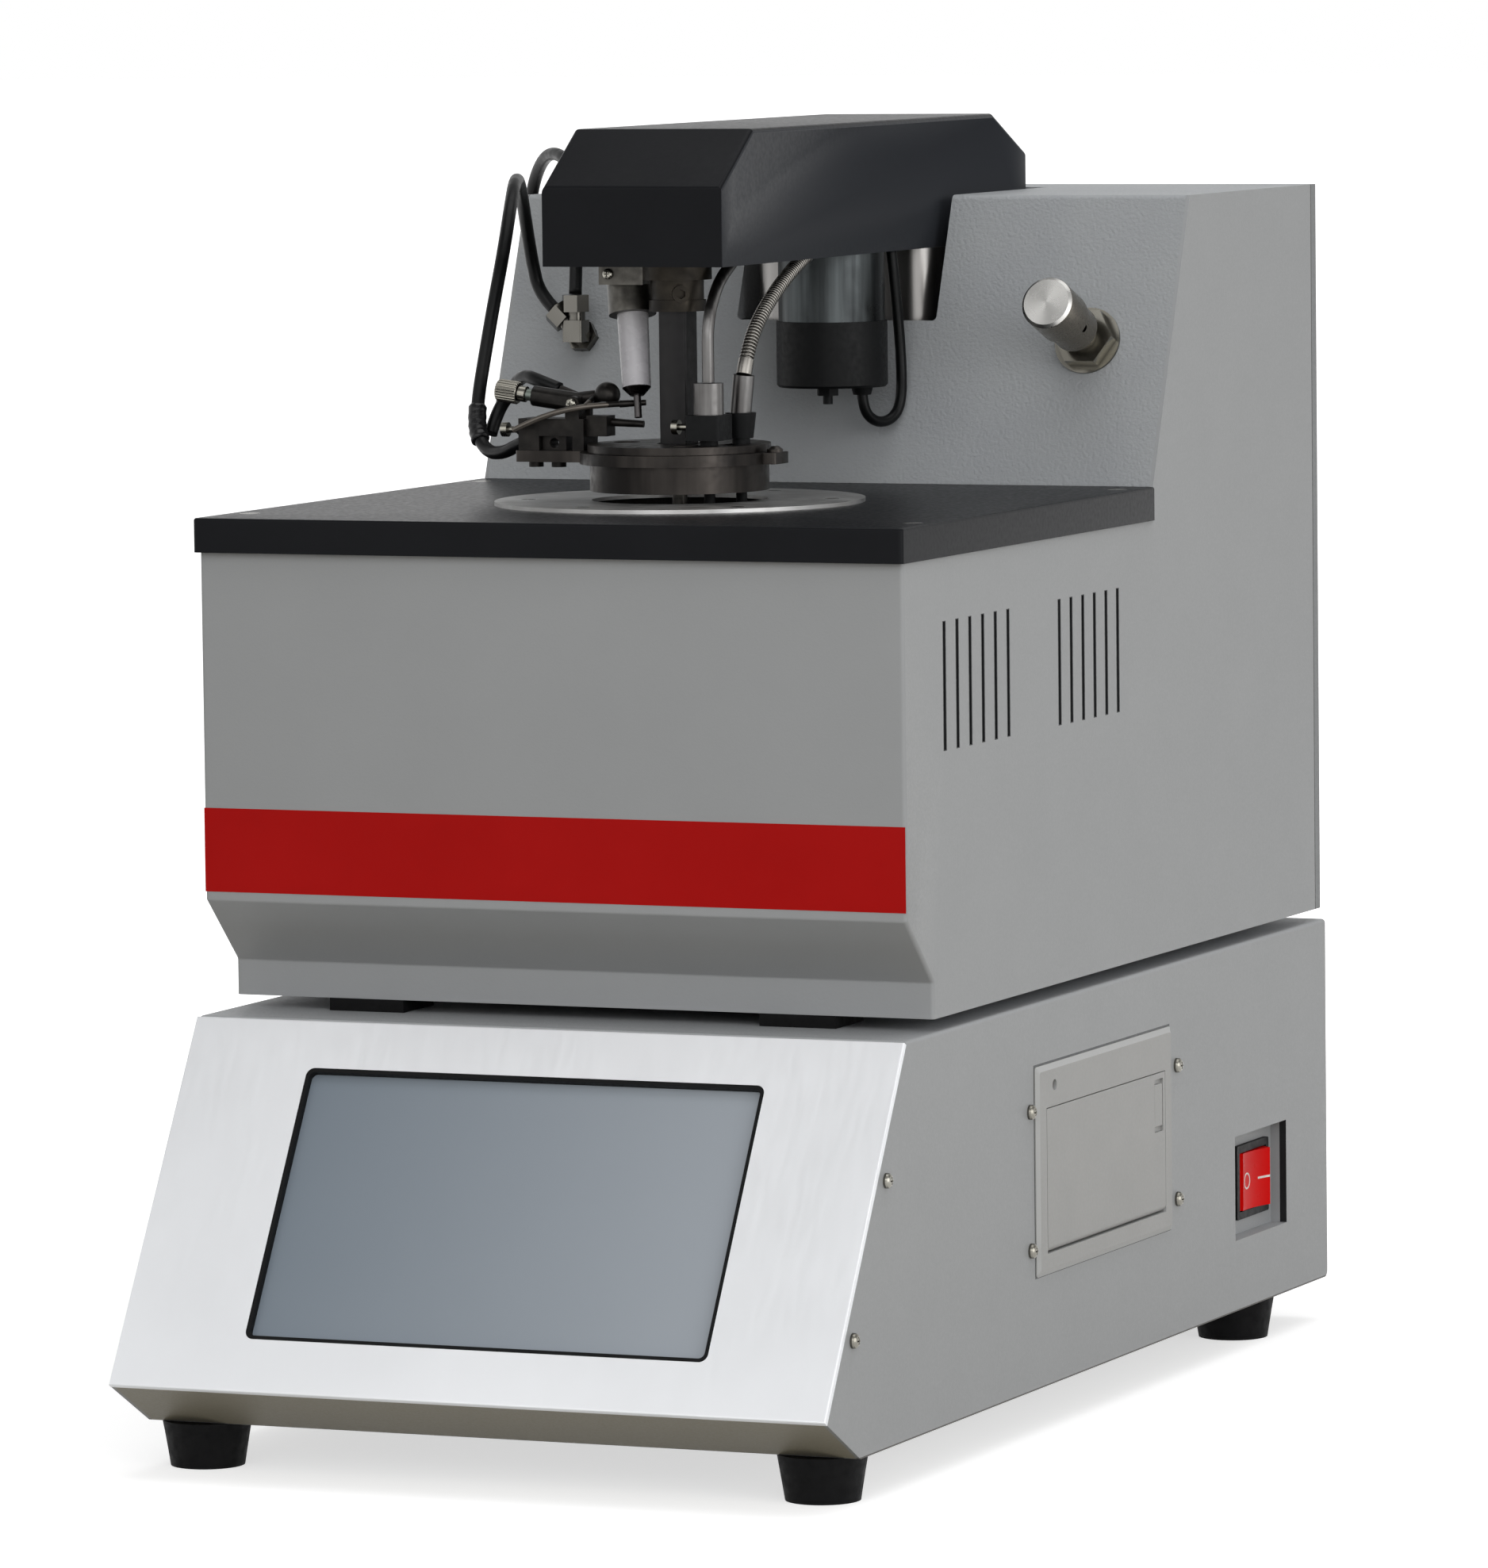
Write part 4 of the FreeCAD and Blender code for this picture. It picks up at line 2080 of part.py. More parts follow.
def build_thumbscrews():
    half = temperature_holder / 2
    seat = vec(cup_x + temperature_dx - half, cup_y + temperature_dy, holder_bottom() + holder_height / 2)
    save("sensor_screw", thumbscrew(seat, ACROSS, thumb_bite))
    thin = bracket_depth / 5
    seat = vec(cup_x - bracket_left, cup_y - bracket_depth / 2 + thin, lid_plate_bottom() + bracket_thumb_rise)
    save("bracket_screw", thumbscrew(seat, ACROSS, thumb_bite))


# Pan-head screws of the panels and the printer, all alike
def pan_screw(seat, way):
    head_profile = [
        (0, 0),
        (screw_head_radius, 0),
        (screw_head_radius, screw_head_height * head_side_share),
        (screw_head_radius * head_crown_share, screw_head_height),
        (0, screw_head_height),
    ]
    head = turned_along(head_profile, seat, way)
    shank = rod(seat - way * (2 * sheet + screw_head_height), seat, screw_radius - shaft_gap)
    return head.fuse(shank)


printer_screw_offset = 5.0
printer_screw_low = 11.5
printer_screw_high = 17.0
printer_screw_rear_share = 1.6


def printer_screw_places():
    rear = printer_y + printer_width + printer_screw_rear_share * printer_screw_offset
    low = printer_z + printer_screw_low
    high = printer_z + printer_height - printer_screw_high
    return [(y, z) for y in (printer_y - printer_screw_offset, rear) for z in (low, high)]


def build_pan_screws():
    screws = []
    for y, z in panel_screw_places():
        for side in (-1, 1):
            screws.append(pan_screw(vec(side * console_half, y, z), vec(side, 0, 0)))
    for y, z in printer_screw_places():
        screws.append(pan_screw(vec(console_half, y, z), ACROSS))
    for x, z in rear_screw_places():
        screws.append(pan_screw(vec(x, console_depth, z), BACK))
    save("pan_screws", screws)


# Corners of the hoses and of the motor's cable between their two ends, chosen by hand. Each number is
# the share of the way from the first end to the last one along X, Y or Z.
gas_hose_shares = [
    (-0.1336, -0.0014, -0.1370),
    (-0.1672, 0.0174, -0.4202),
    (-0.1485, 0.0665, -0.7313),
    (-0.0681, 0.1573, -1.0102),
    (0.0759, 0.2952, -1.1925),
    (0.2499, 0.4566, -1.1818),
    (0.3715, 0.5844, -0.9565),
    (0.4276, 0.6752, -0.5918),
    (0.4201, 0.7357, -0.1628),
    (0.3902, 0.7760, 0.2878),
    (0.3678, 0.8130, 0.6954),
    (0.4126, 0.8514, 0.9743),
    (0.5585, 0.8971, 1.1158),
    (0.7550, 0.9475, 1.1073),
    (0.9177, 0.9852, 1.0300),
]
burner_hose_shares = [
    (0.0246, -0.1852, 0.4337),
    (0.172, -0.1667, 0.8418),
    (0.3563, 0.1944, 1.1378),
    (0.5528, 0.6574, 1.2551),
    (0.7813, 0.9954, 1.1684),
]
supply_hose_shares = [
    (-0.0000, 0.0172, 3.1524),
    (0.0406, 0.0803, 6.0610),
    (0.2031, 0.2182, 8.8726),
    (0.5625, 0.4153, 10.9086),
    (1.0781, 0.6584, 11.1995),
    (1.5000, 0.8686, 9.0665),
    (1.7031, 0.9803, 5.8671),
    (1.6875, 1.0000, 3.0554),
    (1.4062, 1.0000, 1.1745),
]
motor_cable_shares = [
    (0.0000, 0.0000, -0.1541),
    (0.4118, 0.3548, -0.2627),
    (0.9853, 0.8581, -0.2627),
    (1.3971, 1.2129, -0.1541),
    (1.4412, 1.2258, 0.1261),
    (1.2353, 1.2000, 0.5289),
]
motor_cable_radius = 1.8
motor_cable_end_x = 17.8
motor_cable_end_y = 20.5
gas_end_gap = 1.4
gas_end_dy = 2.7
gas_end_rise = 7.3
branch_corner_count = 12
branch_dx = 2.8
branch_dy = 6.9
burner_end_x = 56.35
burner_end_dy = 10.1
burner_end_rise = 28.15
supply_end_inset = 4.25
supply_end_drop = 0.4


def between(start, end, shares):
    whole = end - start
    inner = [start + vec(whole.x * sx, whole.y * sy, whole.z * sz) for sx, sy, sz in shares]
    return [start] + inner + [end]


def gas_hose_route():
    end = lid_point(bracket_left + gas_end_gap, gas_end_dy, gas_end_rise)
    return between(tee_end(tee_outlets()[0]), end, gas_hose_shares)


def burner_hose_route():
    start = gas_hose_route()[branch_corner_count] + vec(branch_dx, branch_dy, 0)
    return between(start, lid_point(burner_end_x, burner_end_dy, burner_end_rise), burner_hose_shares)


def supply_hose_route():
    end = vec(-unit_half + supply_end_inset, grommet_y, grommet_z - supply_end_drop)
    return between(tee_end(tee_outlets()[1]), end, supply_hose_shares)


def motor_cable_route():
    low = arm_bottom - motor_can_height - motor_cap_height
    start = vec(motor_x + motor_gland_x, motor_y + motor_gland_y, low)
    end = vec(motor_x + motor_cable_end_x, motor_y + motor_cable_end_y, arm_bottom + conduit_bite)
    return between(start, end, motor_cable_shares)


def build_cords():
    save("gas_hose", cord_tube("gas_hose", gas_hose_route(), gas_hose_radius))
    save("burner_hose", cord_tube("burner_hose", burner_hose_route(), gas_hose_radius))
    save("supply_hose", cord_tube("supply_hose", supply_hose_route(), gas_hose_radius))
    save("motor_cable", cord_tube("motor_cable", motor_cable_route(), motor_cable_radius))


build_console_cover()
build_console_base()
build_power_inlet()
build_front_panel()
build_screen()
build_electronics()
build_feet()
build_printer()
build_switch()
build_body_shell()
build_body_base()
build_rear_panel()
build_fan()
build_work_plate()
build_bath()
build_tower_cover()
build_valve()
build_tee()
build_lift()
build_arm()
build_stirrer_drive()
build_head()
build_lid()
build_sensors()
build_conduits()
build_igniter()
build_bracket()
build_burner()
build_thumbscrews()
build_pan_screws()
build_cords()
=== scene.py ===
import bpy
import bmesh
import math
from mathutils import Matrix, Vector


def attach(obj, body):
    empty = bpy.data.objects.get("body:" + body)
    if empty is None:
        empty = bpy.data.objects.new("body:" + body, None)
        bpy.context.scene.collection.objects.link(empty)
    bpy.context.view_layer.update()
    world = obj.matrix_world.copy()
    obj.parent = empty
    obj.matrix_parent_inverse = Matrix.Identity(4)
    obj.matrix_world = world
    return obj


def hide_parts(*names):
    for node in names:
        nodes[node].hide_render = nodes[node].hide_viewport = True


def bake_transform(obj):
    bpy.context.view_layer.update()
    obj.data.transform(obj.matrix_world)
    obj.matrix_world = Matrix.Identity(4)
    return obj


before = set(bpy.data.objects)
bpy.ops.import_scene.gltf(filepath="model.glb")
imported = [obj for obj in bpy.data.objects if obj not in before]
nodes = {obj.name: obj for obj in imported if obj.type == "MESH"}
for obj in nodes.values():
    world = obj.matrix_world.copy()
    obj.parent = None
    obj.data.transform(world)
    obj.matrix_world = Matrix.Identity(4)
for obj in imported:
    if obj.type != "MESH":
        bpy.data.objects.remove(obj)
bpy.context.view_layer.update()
scene = bpy.context.scene


# Camera at the photograph's place: a long lens a little above the tester and to its right. Its place
# and its angles come from the fit on the housing's corners.
sensor_width, focal_pixels, photo_height_pixels = 36.0, 12190.1, 1977.0
camera_place = (1.5388, -3.5767, 0.5978)
azimuth, elevation, roll = (math.radians(a) for a in (23.27, 5.12, 0.69))
camera_data = bpy.data.cameras.new("camera")
camera_data.sensor_width = sensor_width
camera_data.lens = sensor_width * focal_pixels / photo_height_pixels
camera_data.clip_end = 100.0
camera = bpy.data.objects.new("camera", camera_data)
scene.collection.objects.link(camera)
ahead = Vector((-math.sin(azimuth) * math.cos(elevation), math.cos(azimuth) * math.cos(elevation),
                -math.sin(elevation)))
level_right = Vector((math.cos(azimuth), math.sin(azimuth), 0.0))
level_down = ahead.cross(level_right)
right = level_right * math.cos(roll) + level_down * math.sin(roll)
down = level_down * math.cos(roll) - level_right * math.sin(roll)
camera_turn = Matrix((right, -down, -ahead)).transposed().to_4x4()
camera.matrix_world = Matrix.Translation(camera_place) @ camera_turn
scene.camera = camera
scene.view_settings.view_transform = "Standard"


# Gas hoses and the motor's lead: black rubber, pushed over nipples or led through glands. Each follows
# one smooth line through its route's points, and black tape covers the joint of the burner's branch.
def linear(red, green, blue):
    # a colour as a screen shows it, 0 to 255, in the shader's own values
    shares = [value / 255.0 for value in (red, green, blue)]
    return (*(s / 12.92 if s <= 0.04045 else ((s + 0.055) / 1.055) ** 2.4 for s in shares), 1.0)


def feed(socket, value):
    # gives a node's input a plain value, or a link from another node's output
    if isinstance(value, bpy.types.NodeSocket):
        socket.id_data.links.new(value, socket)
    else:
        socket.default_value = value


def add(owner, kind, inputs=(), **settings):
    # puts a node into a material, a world or a node tree, with its settings and what its inputs take
    made = getattr(owner, "node_tree", owner).nodes.new(kind)
    for key, value in settings.items():
        setattr(made, key, value)
    for key, value in dict(inputs).items():
        feed(made.inputs[key], value)
    return made


def object_place(owner):
    return add(owner, "ShaderNodeTexCoord").outputs["Object"]


def shader_input(mat, name):
    return mat.node_tree.nodes["Principled BSDF"].inputs[name]


def surface(name, colour, metallic=0.0, roughness=0.5, **sockets):
    mat = bpy.data.materials.new(name)
    mat.use_nodes = True
    feed(shader_input(mat, "Base Color"), linear(*colour))
    feed(shader_input(mat, "Metallic"), metallic)
    feed(shader_input(mat, "Roughness"), roughness)
    for key, value in sockets.items():
        feed(shader_input(mat, key.replace("_", " ")), value)
    return mat


even = (1.0, 1.0, 1.0)


def grain(mat, scale, stretch=even, detail=3.0):
    # soft noise on the piece's own place, drawn out along an axis whose stretch is small
    mapping = add(mat, "ShaderNodeMapping", {"Vector": object_place(mat), "Scale": stretch})
    return add(mat, "ShaderNodeTexNoise",
               {"Vector": mapping.outputs["Vector"], "Scale": scale, "Detail": detail}).outputs[0]


def spread(mat, source, low, high, from_low=0.3, from_high=0.7):
    return add(mat, "ShaderNodeMapRange", {"Value": source, "From Min": from_low, "From Max": from_high,
                                           "To Min": low, "To Max": high}).outputs["Result"]


def vary_colour(mat, source, first, second, from_low=0.3, from_high=0.7):
    ramp = add(mat, "ShaderNodeValToRGB", {"Fac": source})
    low, high = ramp.color_ramp.elements
    low.position, low.color = from_low, linear(*first)
    high.position, high.color = from_high, linear(*second)
    feed(shader_input(mat, "Base Color"), ramp.outputs["Color"])


def emboss(mat, source, depth, strength):
    # fine relief, on top of any that the material has
    bump = add(mat, "ShaderNodeBump", {"Strength": strength, "Distance": depth, "Height": source})
    normal = shader_input(mat, "Normal")
    if normal.links:
        feed(bump.inputs["Normal"], normal.links[0].from_socket)
    feed(normal, bump.outputs["Normal"])


def finish(name, colour, tones, gloss=None, pits=None, edges=(0.3, 0.7), **sockets):
    # tones are two colours, gloss two roughnesses, pits a depth and a strength, each with its grain
    mat = surface(name, colour, **sockets)
    vary_colour(mat, grain(mat, *tones[2:]), *tones[:2], *edges)
    if gloss:
        feed(shader_input(mat, "Roughness"), spread(mat, grain(mat, *gloss[2:]), *gloss[:2]))
    if pits:
        emboss(mat, grain(mat, *pits[2:]), *pits[:2])
    return mat


def skinned(loops, ring=False):
    # faces between loops of as many points: capped at both ends, or closed into a ring
    count, faces = len(loops[0]), []
    for layer in range(len(loops) if ring else len(loops) - 1):
        low, high = layer * count, (layer + 1) % len(loops) * count
        faces += [(low + k, low + (k + 1) % count, high + (k + 1) % count, high + k) for k in range(count)]
    if not ring:
        faces += [tuple(range(count)), tuple(range((len(loops) - 1) * count, len(loops) * count))]
    return [point for loop in loops for point in loop], faces


def solid(name, verts, faces):
    # a mesh object whose faces all point outwards
    mesh = bpy.data.meshes.new(name)
    mesh.from_pydata([tuple(v) for v in verts], [], faces)
    work = bmesh.new()
    work.from_mesh(mesh)
    bmesh.ops.recalc_face_normals(work, faces=work.faces)
    work.to_mesh(mesh)
    work.free()
    obj = bpy.data.objects.new(name, mesh)
    scene.collection.objects.link(obj)
    return obj


def fit(piece, body=None, stands_for=None, mat=None):
    # gives a new piece its finish, the body it rides on and the CAD node it stands for
    if mat:
        piece.data.materials.clear()
        piece.data.materials.append(mat)
    if body:
        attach(piece, body)
    if stands_for:
        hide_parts(stands_for)


def plain_mesh(obj):
    # an object's mesh as its modifiers or its curve make it
    bpy.context.view_layer.update()
    return bpy.data.meshes.new_from_object(obj.evaluated_get(bpy.context.evaluated_depsgraph_get()))


depth_middle = 278.0


def metres(x, y, z):
    # millimetres of the drawing, with depth counted from the front, as a point of the frame
    return Vector((x / 1000, (y - depth_middle) / 1000, z / 1000))


def smooth_line(name, route):
    # the route's own smooth line, read back as points close together
    curve = bpy.data.curves.new(name + "_line", "CURVE")
    curve.dimensions = "3D"
    spline = curve.splines.new("NURBS")
    spline.points.add(len(route) - 1)
    for target, corner in zip(spline.points, route):
        target.co = (*metres(*corner), 1.0)
    spline.order_u = 3
    spline.use_endpoint_u = True
    spline.resolution_u = 12
    line = bpy.data.objects.new(name + "_line", curve)
    scene.collection.objects.link(line)
    mesh = plain_mesh(line)
    found = [v.co.copy() for v in mesh.vertices]
    bpy.data.objects.remove(line)
    bpy.data.meshes.remove(mesh)
    return found


def circle(cx, cy, radius, count):
    angles = [2 * math.pi * k / count for k in range(count)]
    return [(cx + radius * math.cos(a), cy + radius * math.sin(a)) for a in angles]


def tube(name, line, radii, sides=24):
    # a round tube with a radius for each point of its line, smooth but for its ends
    loops, side = [], None
    for k, (point, radius) in enumerate(zip(line, radii)):
        way = (line[min(k + 1, len(line) - 1)] - line[max(k - 1, 0)]).normalized()
        side = way.orthogonal() if side is None else side
        side = (side - way * side.dot(way)).normalized()
        loops.append([point + side * u + way.cross(side) * v for u, v in circle(0, 0, radius, sides)])
    obj = solid(name, *skinned(loops))
    for polygon in obj.data.polygons:
        polygon.use_smooth = len(polygon.vertices) == 4
    return obj


hose_rubber = finish("hose_rubber", (12, 13, 14), tones=((10, 11, 12), (15, 16, 17), 90.0),
                     gloss=(0.28, 0.44, 240.0), pits=(0.00005, 0.4, 1400.0), roughness=0.36,
                     Specular_IOR_Level=0.14)


def rubber_line(name, stands_for, diameter, body, route):
    # a hose or a lead along its route, with what it measures
    line = smooth_line(stands_for, route)
    made = tube(name, line, [diameter / 2] * len(line))
    fit(made, body, stands_for, hose_rubber)
    return made, line


hose_diameter, lead_diameter = 0.0054, 0.0044
gas_hose, gas_hose_line = rubber_line("gas_hose_rubber", "gas_hose", hose_diameter, None, [
    (-121.9, 369.9, 436.4), (-129.0, 370.1, 442.8), (-130.8, 367.3, 456.0), (-129.8, 360.0, 470.5),
    (-125.5, 346.5, 483.5), (-117.8, 326.0, 492.0), (-108.5, 302.0, 491.5), (-102.0, 283.0, 481.0),
    (-99.0, 269.5, 464.0), (-99.4, 260.5, 444.0), (-101.0, 254.5, 423.0), (-102.2, 249.0, 404.0),
    (-99.8, 243.3, 391.0), (-92.0, 236.5, 384.4), (-81.5, 229.0, 384.8), (-72.8, 223.4, 388.4),
    (-68.4, 221.2, 389.8)])
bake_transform(gas_hose)
rubber_line("burner_hose_rubber", "burner_hose", hose_diameter, "lift_head", [
    (-97.0, 250.2, 391.0), (-96.0, 254.2, 399.5), (-90.0, 253.8, 407.5), (-82.5, 246.0, 413.3),
    (-74.5, 236.0, 415.6), (-65.2, 228.7, 413.9), (-56.35, 228.6, 410.65)])

tape_black = finish("tape_black", (13, 13, 15), tones=((11, 11, 13), (17, 17, 19), 80.0),
                    gloss=(0.24, 0.46, 160.0, (1.0, 1.0, 3.0)),
                    pits=(0.0004, 0.8, 220.0, (1.0, 1.0, 4.0)), roughness=0.3, Specular_IOR_Level=0.3)
tape_low, tape_high, tape_before, tape_left_of = 0.3885, 0.4040, -0.020, -0.094
taped_line = [p for p in gas_hose_line
              if tape_low < p.z < tape_high and p.y < tape_before and p.x < tape_left_of]
tape_radius, tape_end_radius, tape_waves = 0.0037, 0.0029, ((0.00022, 1.9), (0.00016, 4.3))
tape_radii = [sum((height * math.sin(k * pace) for height, pace in tape_waves), tape_radius)
              for k in range(len(taped_line))]
tape_radii[0] = tape_radii[-1] = tape_end_radius
fit(tube("hose_joint_tape", taped_line, tape_radii, 28), "lift_head", mat=tape_black)

rubber_line("supply_hose_rubber", "supply_hose", hose_diameter, "housing", [
    (-112.5, 369.9, 442.7), (-112.5, 371.2, 459.0), (-113.8, 376.0, 474.0), (-119.0, 386.5, 488.5),
    (-130.5, 401.5, 499.0), (-147.0, 420.0, 500.5), (-160.5, 436.0, 489.5), (-167.0, 444.5, 473.0),
    (-166.5, 446.0, 458.5), (-157.5, 446.0, 448.8), (-144.5, 446.0, 447.9)])
rubber_line("motor_lead", "motor_cable", lead_diameter, "lift_head", [
    (26.0, 346.0, 406.8), (26.0, 346.0, 398.0), (28.8, 351.5, 391.8), (32.7, 359.3, 391.8),
    (35.5, 364.8, 398.0), (35.8, 365.0, 414.0), (34.4, 364.6, 437.0), (32.8, 361.5, 463.9)])


# Floor: a pale bench top that takes the tester's shadow and fades to white further out. A mirror or
# the camera sees it lit, and what it throws back on the tester is dimmer and a little warm.
def maths(owner, operation, *values, **settings):
    return add(owner, "ShaderNodeMath", dict(enumerate(values)), operation=operation, **settings).outputs[0]


floor_half, fade_from, fade_to, floor_glow_near = 30.0, 0.35, 0.85, 0.62
floor_mesh = bpy.data.meshes.new("floor")
floor_corners = [(x * floor_half, y * floor_half, 0) for x, y in ((-1, -1), (1, -1), (1, 1), (-1, 1))]
floor_mesh.from_pydata(floor_corners, [], [(0, 1, 2, 3)])
floor = bpy.data.objects.new("floor", floor_mesh)
scene.collection.objects.link(floor)
floor_white = surface("floor_white", (235, 235, 235), roughness=0.9, Specular_IOR_Level=0.0)
floor_rays = add(floor_white, "ShaderNodeLightPath").outputs
floor_seen = maths(floor_white, "MAXIMUM", floor_rays["Is Camera Ray"], floor_rays["Is Glossy Ray"])
floor_seen = maths(floor_white, "MAXIMUM", floor_seen, floor_rays["Is Transmission Ray"])
floor_reach = add(floor_white, "ShaderNodeVectorMath", {0: object_place(floor_white)}, operation="LENGTH")
floor_fade = add(floor_white, "ShaderNodeMapRange", {
    "Value": floor_reach.outputs["Value"], "From Min": fade_from, "From Max": fade_to,
    "To Min": floor_glow_near, "To Max": 1.0}, interpolation_type="SMOOTHSTEP").outputs["Result"]
floor_tone = add(floor_white, "ShaderNodeMix", {
    "Factor": floor_seen, "A": linear(142, 137, 125), "B": linear(214, 214, 214)}, data_type="RGBA")
feed(shader_input(floor_white, "Base Color"), floor_tone.outputs["Result"])
feed(shader_input(floor_white, "Emission Color"), (1.0, 1.0, 1.0, 1.0))
feed(shader_input(floor_white, "Emission Strength"), maths(floor_white, "MULTIPLY", floor_fade, floor_seen))
floor_mesh.materials.append(floor_white)


# Room and lamps: a white room that gives the tester only weak light, darker overhead in reflections,
# with large soft boxes above, to the right and in front. The sheen card shows only in reflections.
world = bpy.data.worlds.new("studio")
scene.world = world
world.use_nodes = True
sky = world.node_tree.nodes["Background"]
sky_rays = add(world, "ShaderNodeLightPath").outputs
sky_parts = add(world, "ShaderNodeSeparateXYZ", {0: add(world, "ShaderNodeTexCoord").outputs["Generated"]})
sky_height = add(world, "ShaderNodeMapRange", {
    "Value": sky_parts.outputs["Z"], "From Min": 0.3, "From Max": 0.8, "To Min": 1.0, "To Max": 0.3},
    interpolation_type="SMOOTHSTEP").outputs["Result"]
sky_mirrored = maths(world, "MAXIMUM", sky_rays["Is Glossy Ray"], sky_rays["Is Transmission Ray"])
sky_indirect = add(world, "ShaderNodeMapRange", {
    "Value": sky_mirrored, "To Min": 0.42, "To Max": sky_height}).outputs["Result"]
sky_level = add(world, "ShaderNodeMapRange", {
    "Value": sky_rays["Is Camera Ray"], "To Min": sky_indirect, "To Max": 1.0}).outputs["Result"]
feed(sky.inputs["Strength"], sky_level)
feed(sky.inputs["Color"], (1.0, 1.0, 1.0, 1.0))


def soft_box(name, place, aim, size, power):
    lamp = bpy.data.lights.new(name, "AREA")
    lamp.shape = "RECTANGLE"
    lamp.size, lamp.size_y = size
    lamp.energy = power
    obj = bpy.data.objects.new(name, lamp)
    scene.collection.objects.link(obj)
    obj.location = place
    obj.rotation_euler = (Vector(aim) - Vector(place)).to_track_quat("-Z", "Y").to_euler()
    return obj


soft_box("overhead", (0.3, 0.2, 3.0), (0.0, 0.0, 0.2), (2.6, 2.6), 34.0)
soft_box("right_side", (2.8, -1.0, 0.7), (0.0, -0.1, 0.2), (2.0, 1.6), 25.0)
soft_box("front", (1.0, -3.1, 1.6), (0.0, 0.0, 0.3), (3.0, 2.2), 33.0)
sheen_card = soft_box("sheen_card", (-1.4, -2.6, 1.55), (0.0, -0.23, 0.1), (1.9, 1.9), 10.0)
sheen_card.visible_diffuse = False


# Console: a folded steel cover slipped over a floor tray and screwed to it, both under a fine grey
# powder coat. Darker lines in the coat are painted shade in the gaps round the printer and the switch's
# recess and under the cover's foot, and the tray's lip is painted warmer as a reflection of the floor.
def geometry_tree(name, inputs):
    # a Geometry Nodes tree with named inputs: the tree, what comes in, and where its mesh goes out
    tree = bpy.data.node_groups.new(name, "GeometryNodeTree")
    tree.interface.new_socket("Geometry", in_out="INPUT", socket_type="NodeSocketGeometry")
    for label, (kind, value) in inputs.items():
        socket = tree.interface.new_socket(label, in_out="INPUT", socket_type="NodeSocket" + kind)
        if value is not None:
            socket.default_value = value
    tree.interface.new_socket("Geometry", in_out="OUTPUT", socket_type="NodeSocketGeometry")
    return tree, add(tree, "NodeGroupInput").outputs, add(tree, "NodeGroupOutput").inputs["Geometry"]


weld_and_smooth, weld_in, weld_out = geometry_tree(
    "weld_and_smooth", {"Sharp angle": ("Float", math.radians(28.0))})
welded = add(weld_and_smooth, "GeometryNodeMergeByDistance", {
    "Geometry": weld_in["Geometry"], "Distance": 0.000002}).outputs["Geometry"]
rounded = add(weld_and_smooth, "GeometryNodeSetShadeSmooth", {"Geometry": welded}).outputs["Geometry"]
edge_angle = add(weld_and_smooth, "GeometryNodeInputMeshEdgeAngle").outputs["Unsigned Angle"]
sharp = add(weld_and_smooth, "FunctionNodeCompare", {"A": edge_angle, "B": weld_in["Sharp angle"]},
            operation="GREATER_THAN").outputs["Result"]
feed(weld_out, add(weld_and_smooth, "GeometryNodeSetShadeSmooth", {
    "Geometry": rounded, "Selection": sharp, "Shade Smooth": False}, domain="EDGE").outputs["Geometry"])


def dress(mat, *names):
    # gives CAD nodes a finish, and round faces where their edges are shallow
    for name in names:
        obj = nodes[name]
        obj.data.materials.clear()
        obj.data.materials.append(mat)
        obj.modifiers.new("weld_and_smooth", "NODES").node_group = weld_and_smooth


def powder_coat(name, dark=(161, 163, 165), light=(163, 165, 167), pit=950.0, depth=0.00006):
    return finish(name, light, tones=(dark, light, 26.0, even, 2.0), gloss=(0.40, 0.58, pit),
                  pits=(depth, 0.7, pit, even, 1.5), roughness=0.48, Specular_IOR_Level=0.3)


def parts_of_place(mat):
    return add(mat, "ShaderNodeSeparateXYZ", {0: object_place(mat)}).outputs


def within(mat, source, low, high):
    # one between the two values, zero outside them
    return maths(mat, "COMPARE", source, (low + high) / 2, (high - low) / 2)


def all_of(mat, first, *others):
    for other in others:
        first = maths(mat, "MULTIPLY", first, other)
    return first


def region(mat, **spans):
    # one inside the spans given for X, Y and Z
    place = parts_of_place(mat)
    return all_of(mat, *(within(mat, place[axis], *span) for axis, span in spans.items()))


def paint_where(mat, mask, colour):
    # lays another colour over the finish where the mask is one
    base = shader_input(mat, "Base Color")
    mix = add(mat, "ShaderNodeMix", {"Factor": mask, "A": base.links[0].from_socket, "B": linear(*colour)},
              data_type="RGBA")
    feed(base, mix.outputs["Result"])


console_coat = powder_coat("grey_console_coat")
# painted shade: darker lines in the gaps round the printer and the recess, and under the cover's foot
printer_gap_shade = region(console_coat, X=(0.1498, 0.1510), Y=(-0.0628, 0.0884), Z=(0.0620, 0.1468))
recess_edge_shade = region(console_coat, X=(0.1470, 0.14995), Y=(0.2255, 0.2265), Z=(0.0475, 0.0910))
cover_foot_shade = region(console_coat, Z=(0.0170, 0.0186))
paint_where(console_coat, printer_gap_shade, (84, 86, 87))
paint_where(console_coat, recess_edge_shade, (20, 21, 23))
paint_where(console_coat, cover_foot_shade, (86, 84, 80))
dress(console_coat, "console_cover")
tray_coat = powder_coat("grey_tray_coat")
# painted reflection: the lip is tinted warm, as the bench top's reflection
tray_lip_reflection = region(tray_coat, Y=(-0.2765, -0.2436), Z=(0.0182, 0.0360))
paint_where(tray_coat, tray_lip_reflection, (158, 153, 138))
dress(tray_coat, "console_base")


# Front panel: a thick plate of satin aluminium with a faint grain across, set on the console's slope
# and held from both sides by small screws.
satin_aluminium = finish("satin_aluminium", (240, 242, 245), tones=((238, 240, 243), (244, 246, 249), 12.0),
                         gloss=(0.38, 0.48, 60.0, (6.0, 1.0, 1.0)), pits=(0.00003, 0.3, 900.0),
                         metallic=0.42, roughness=0.42, Specular_IOR_Level=0.2)
dress(satin_aluminium, "front_panel")
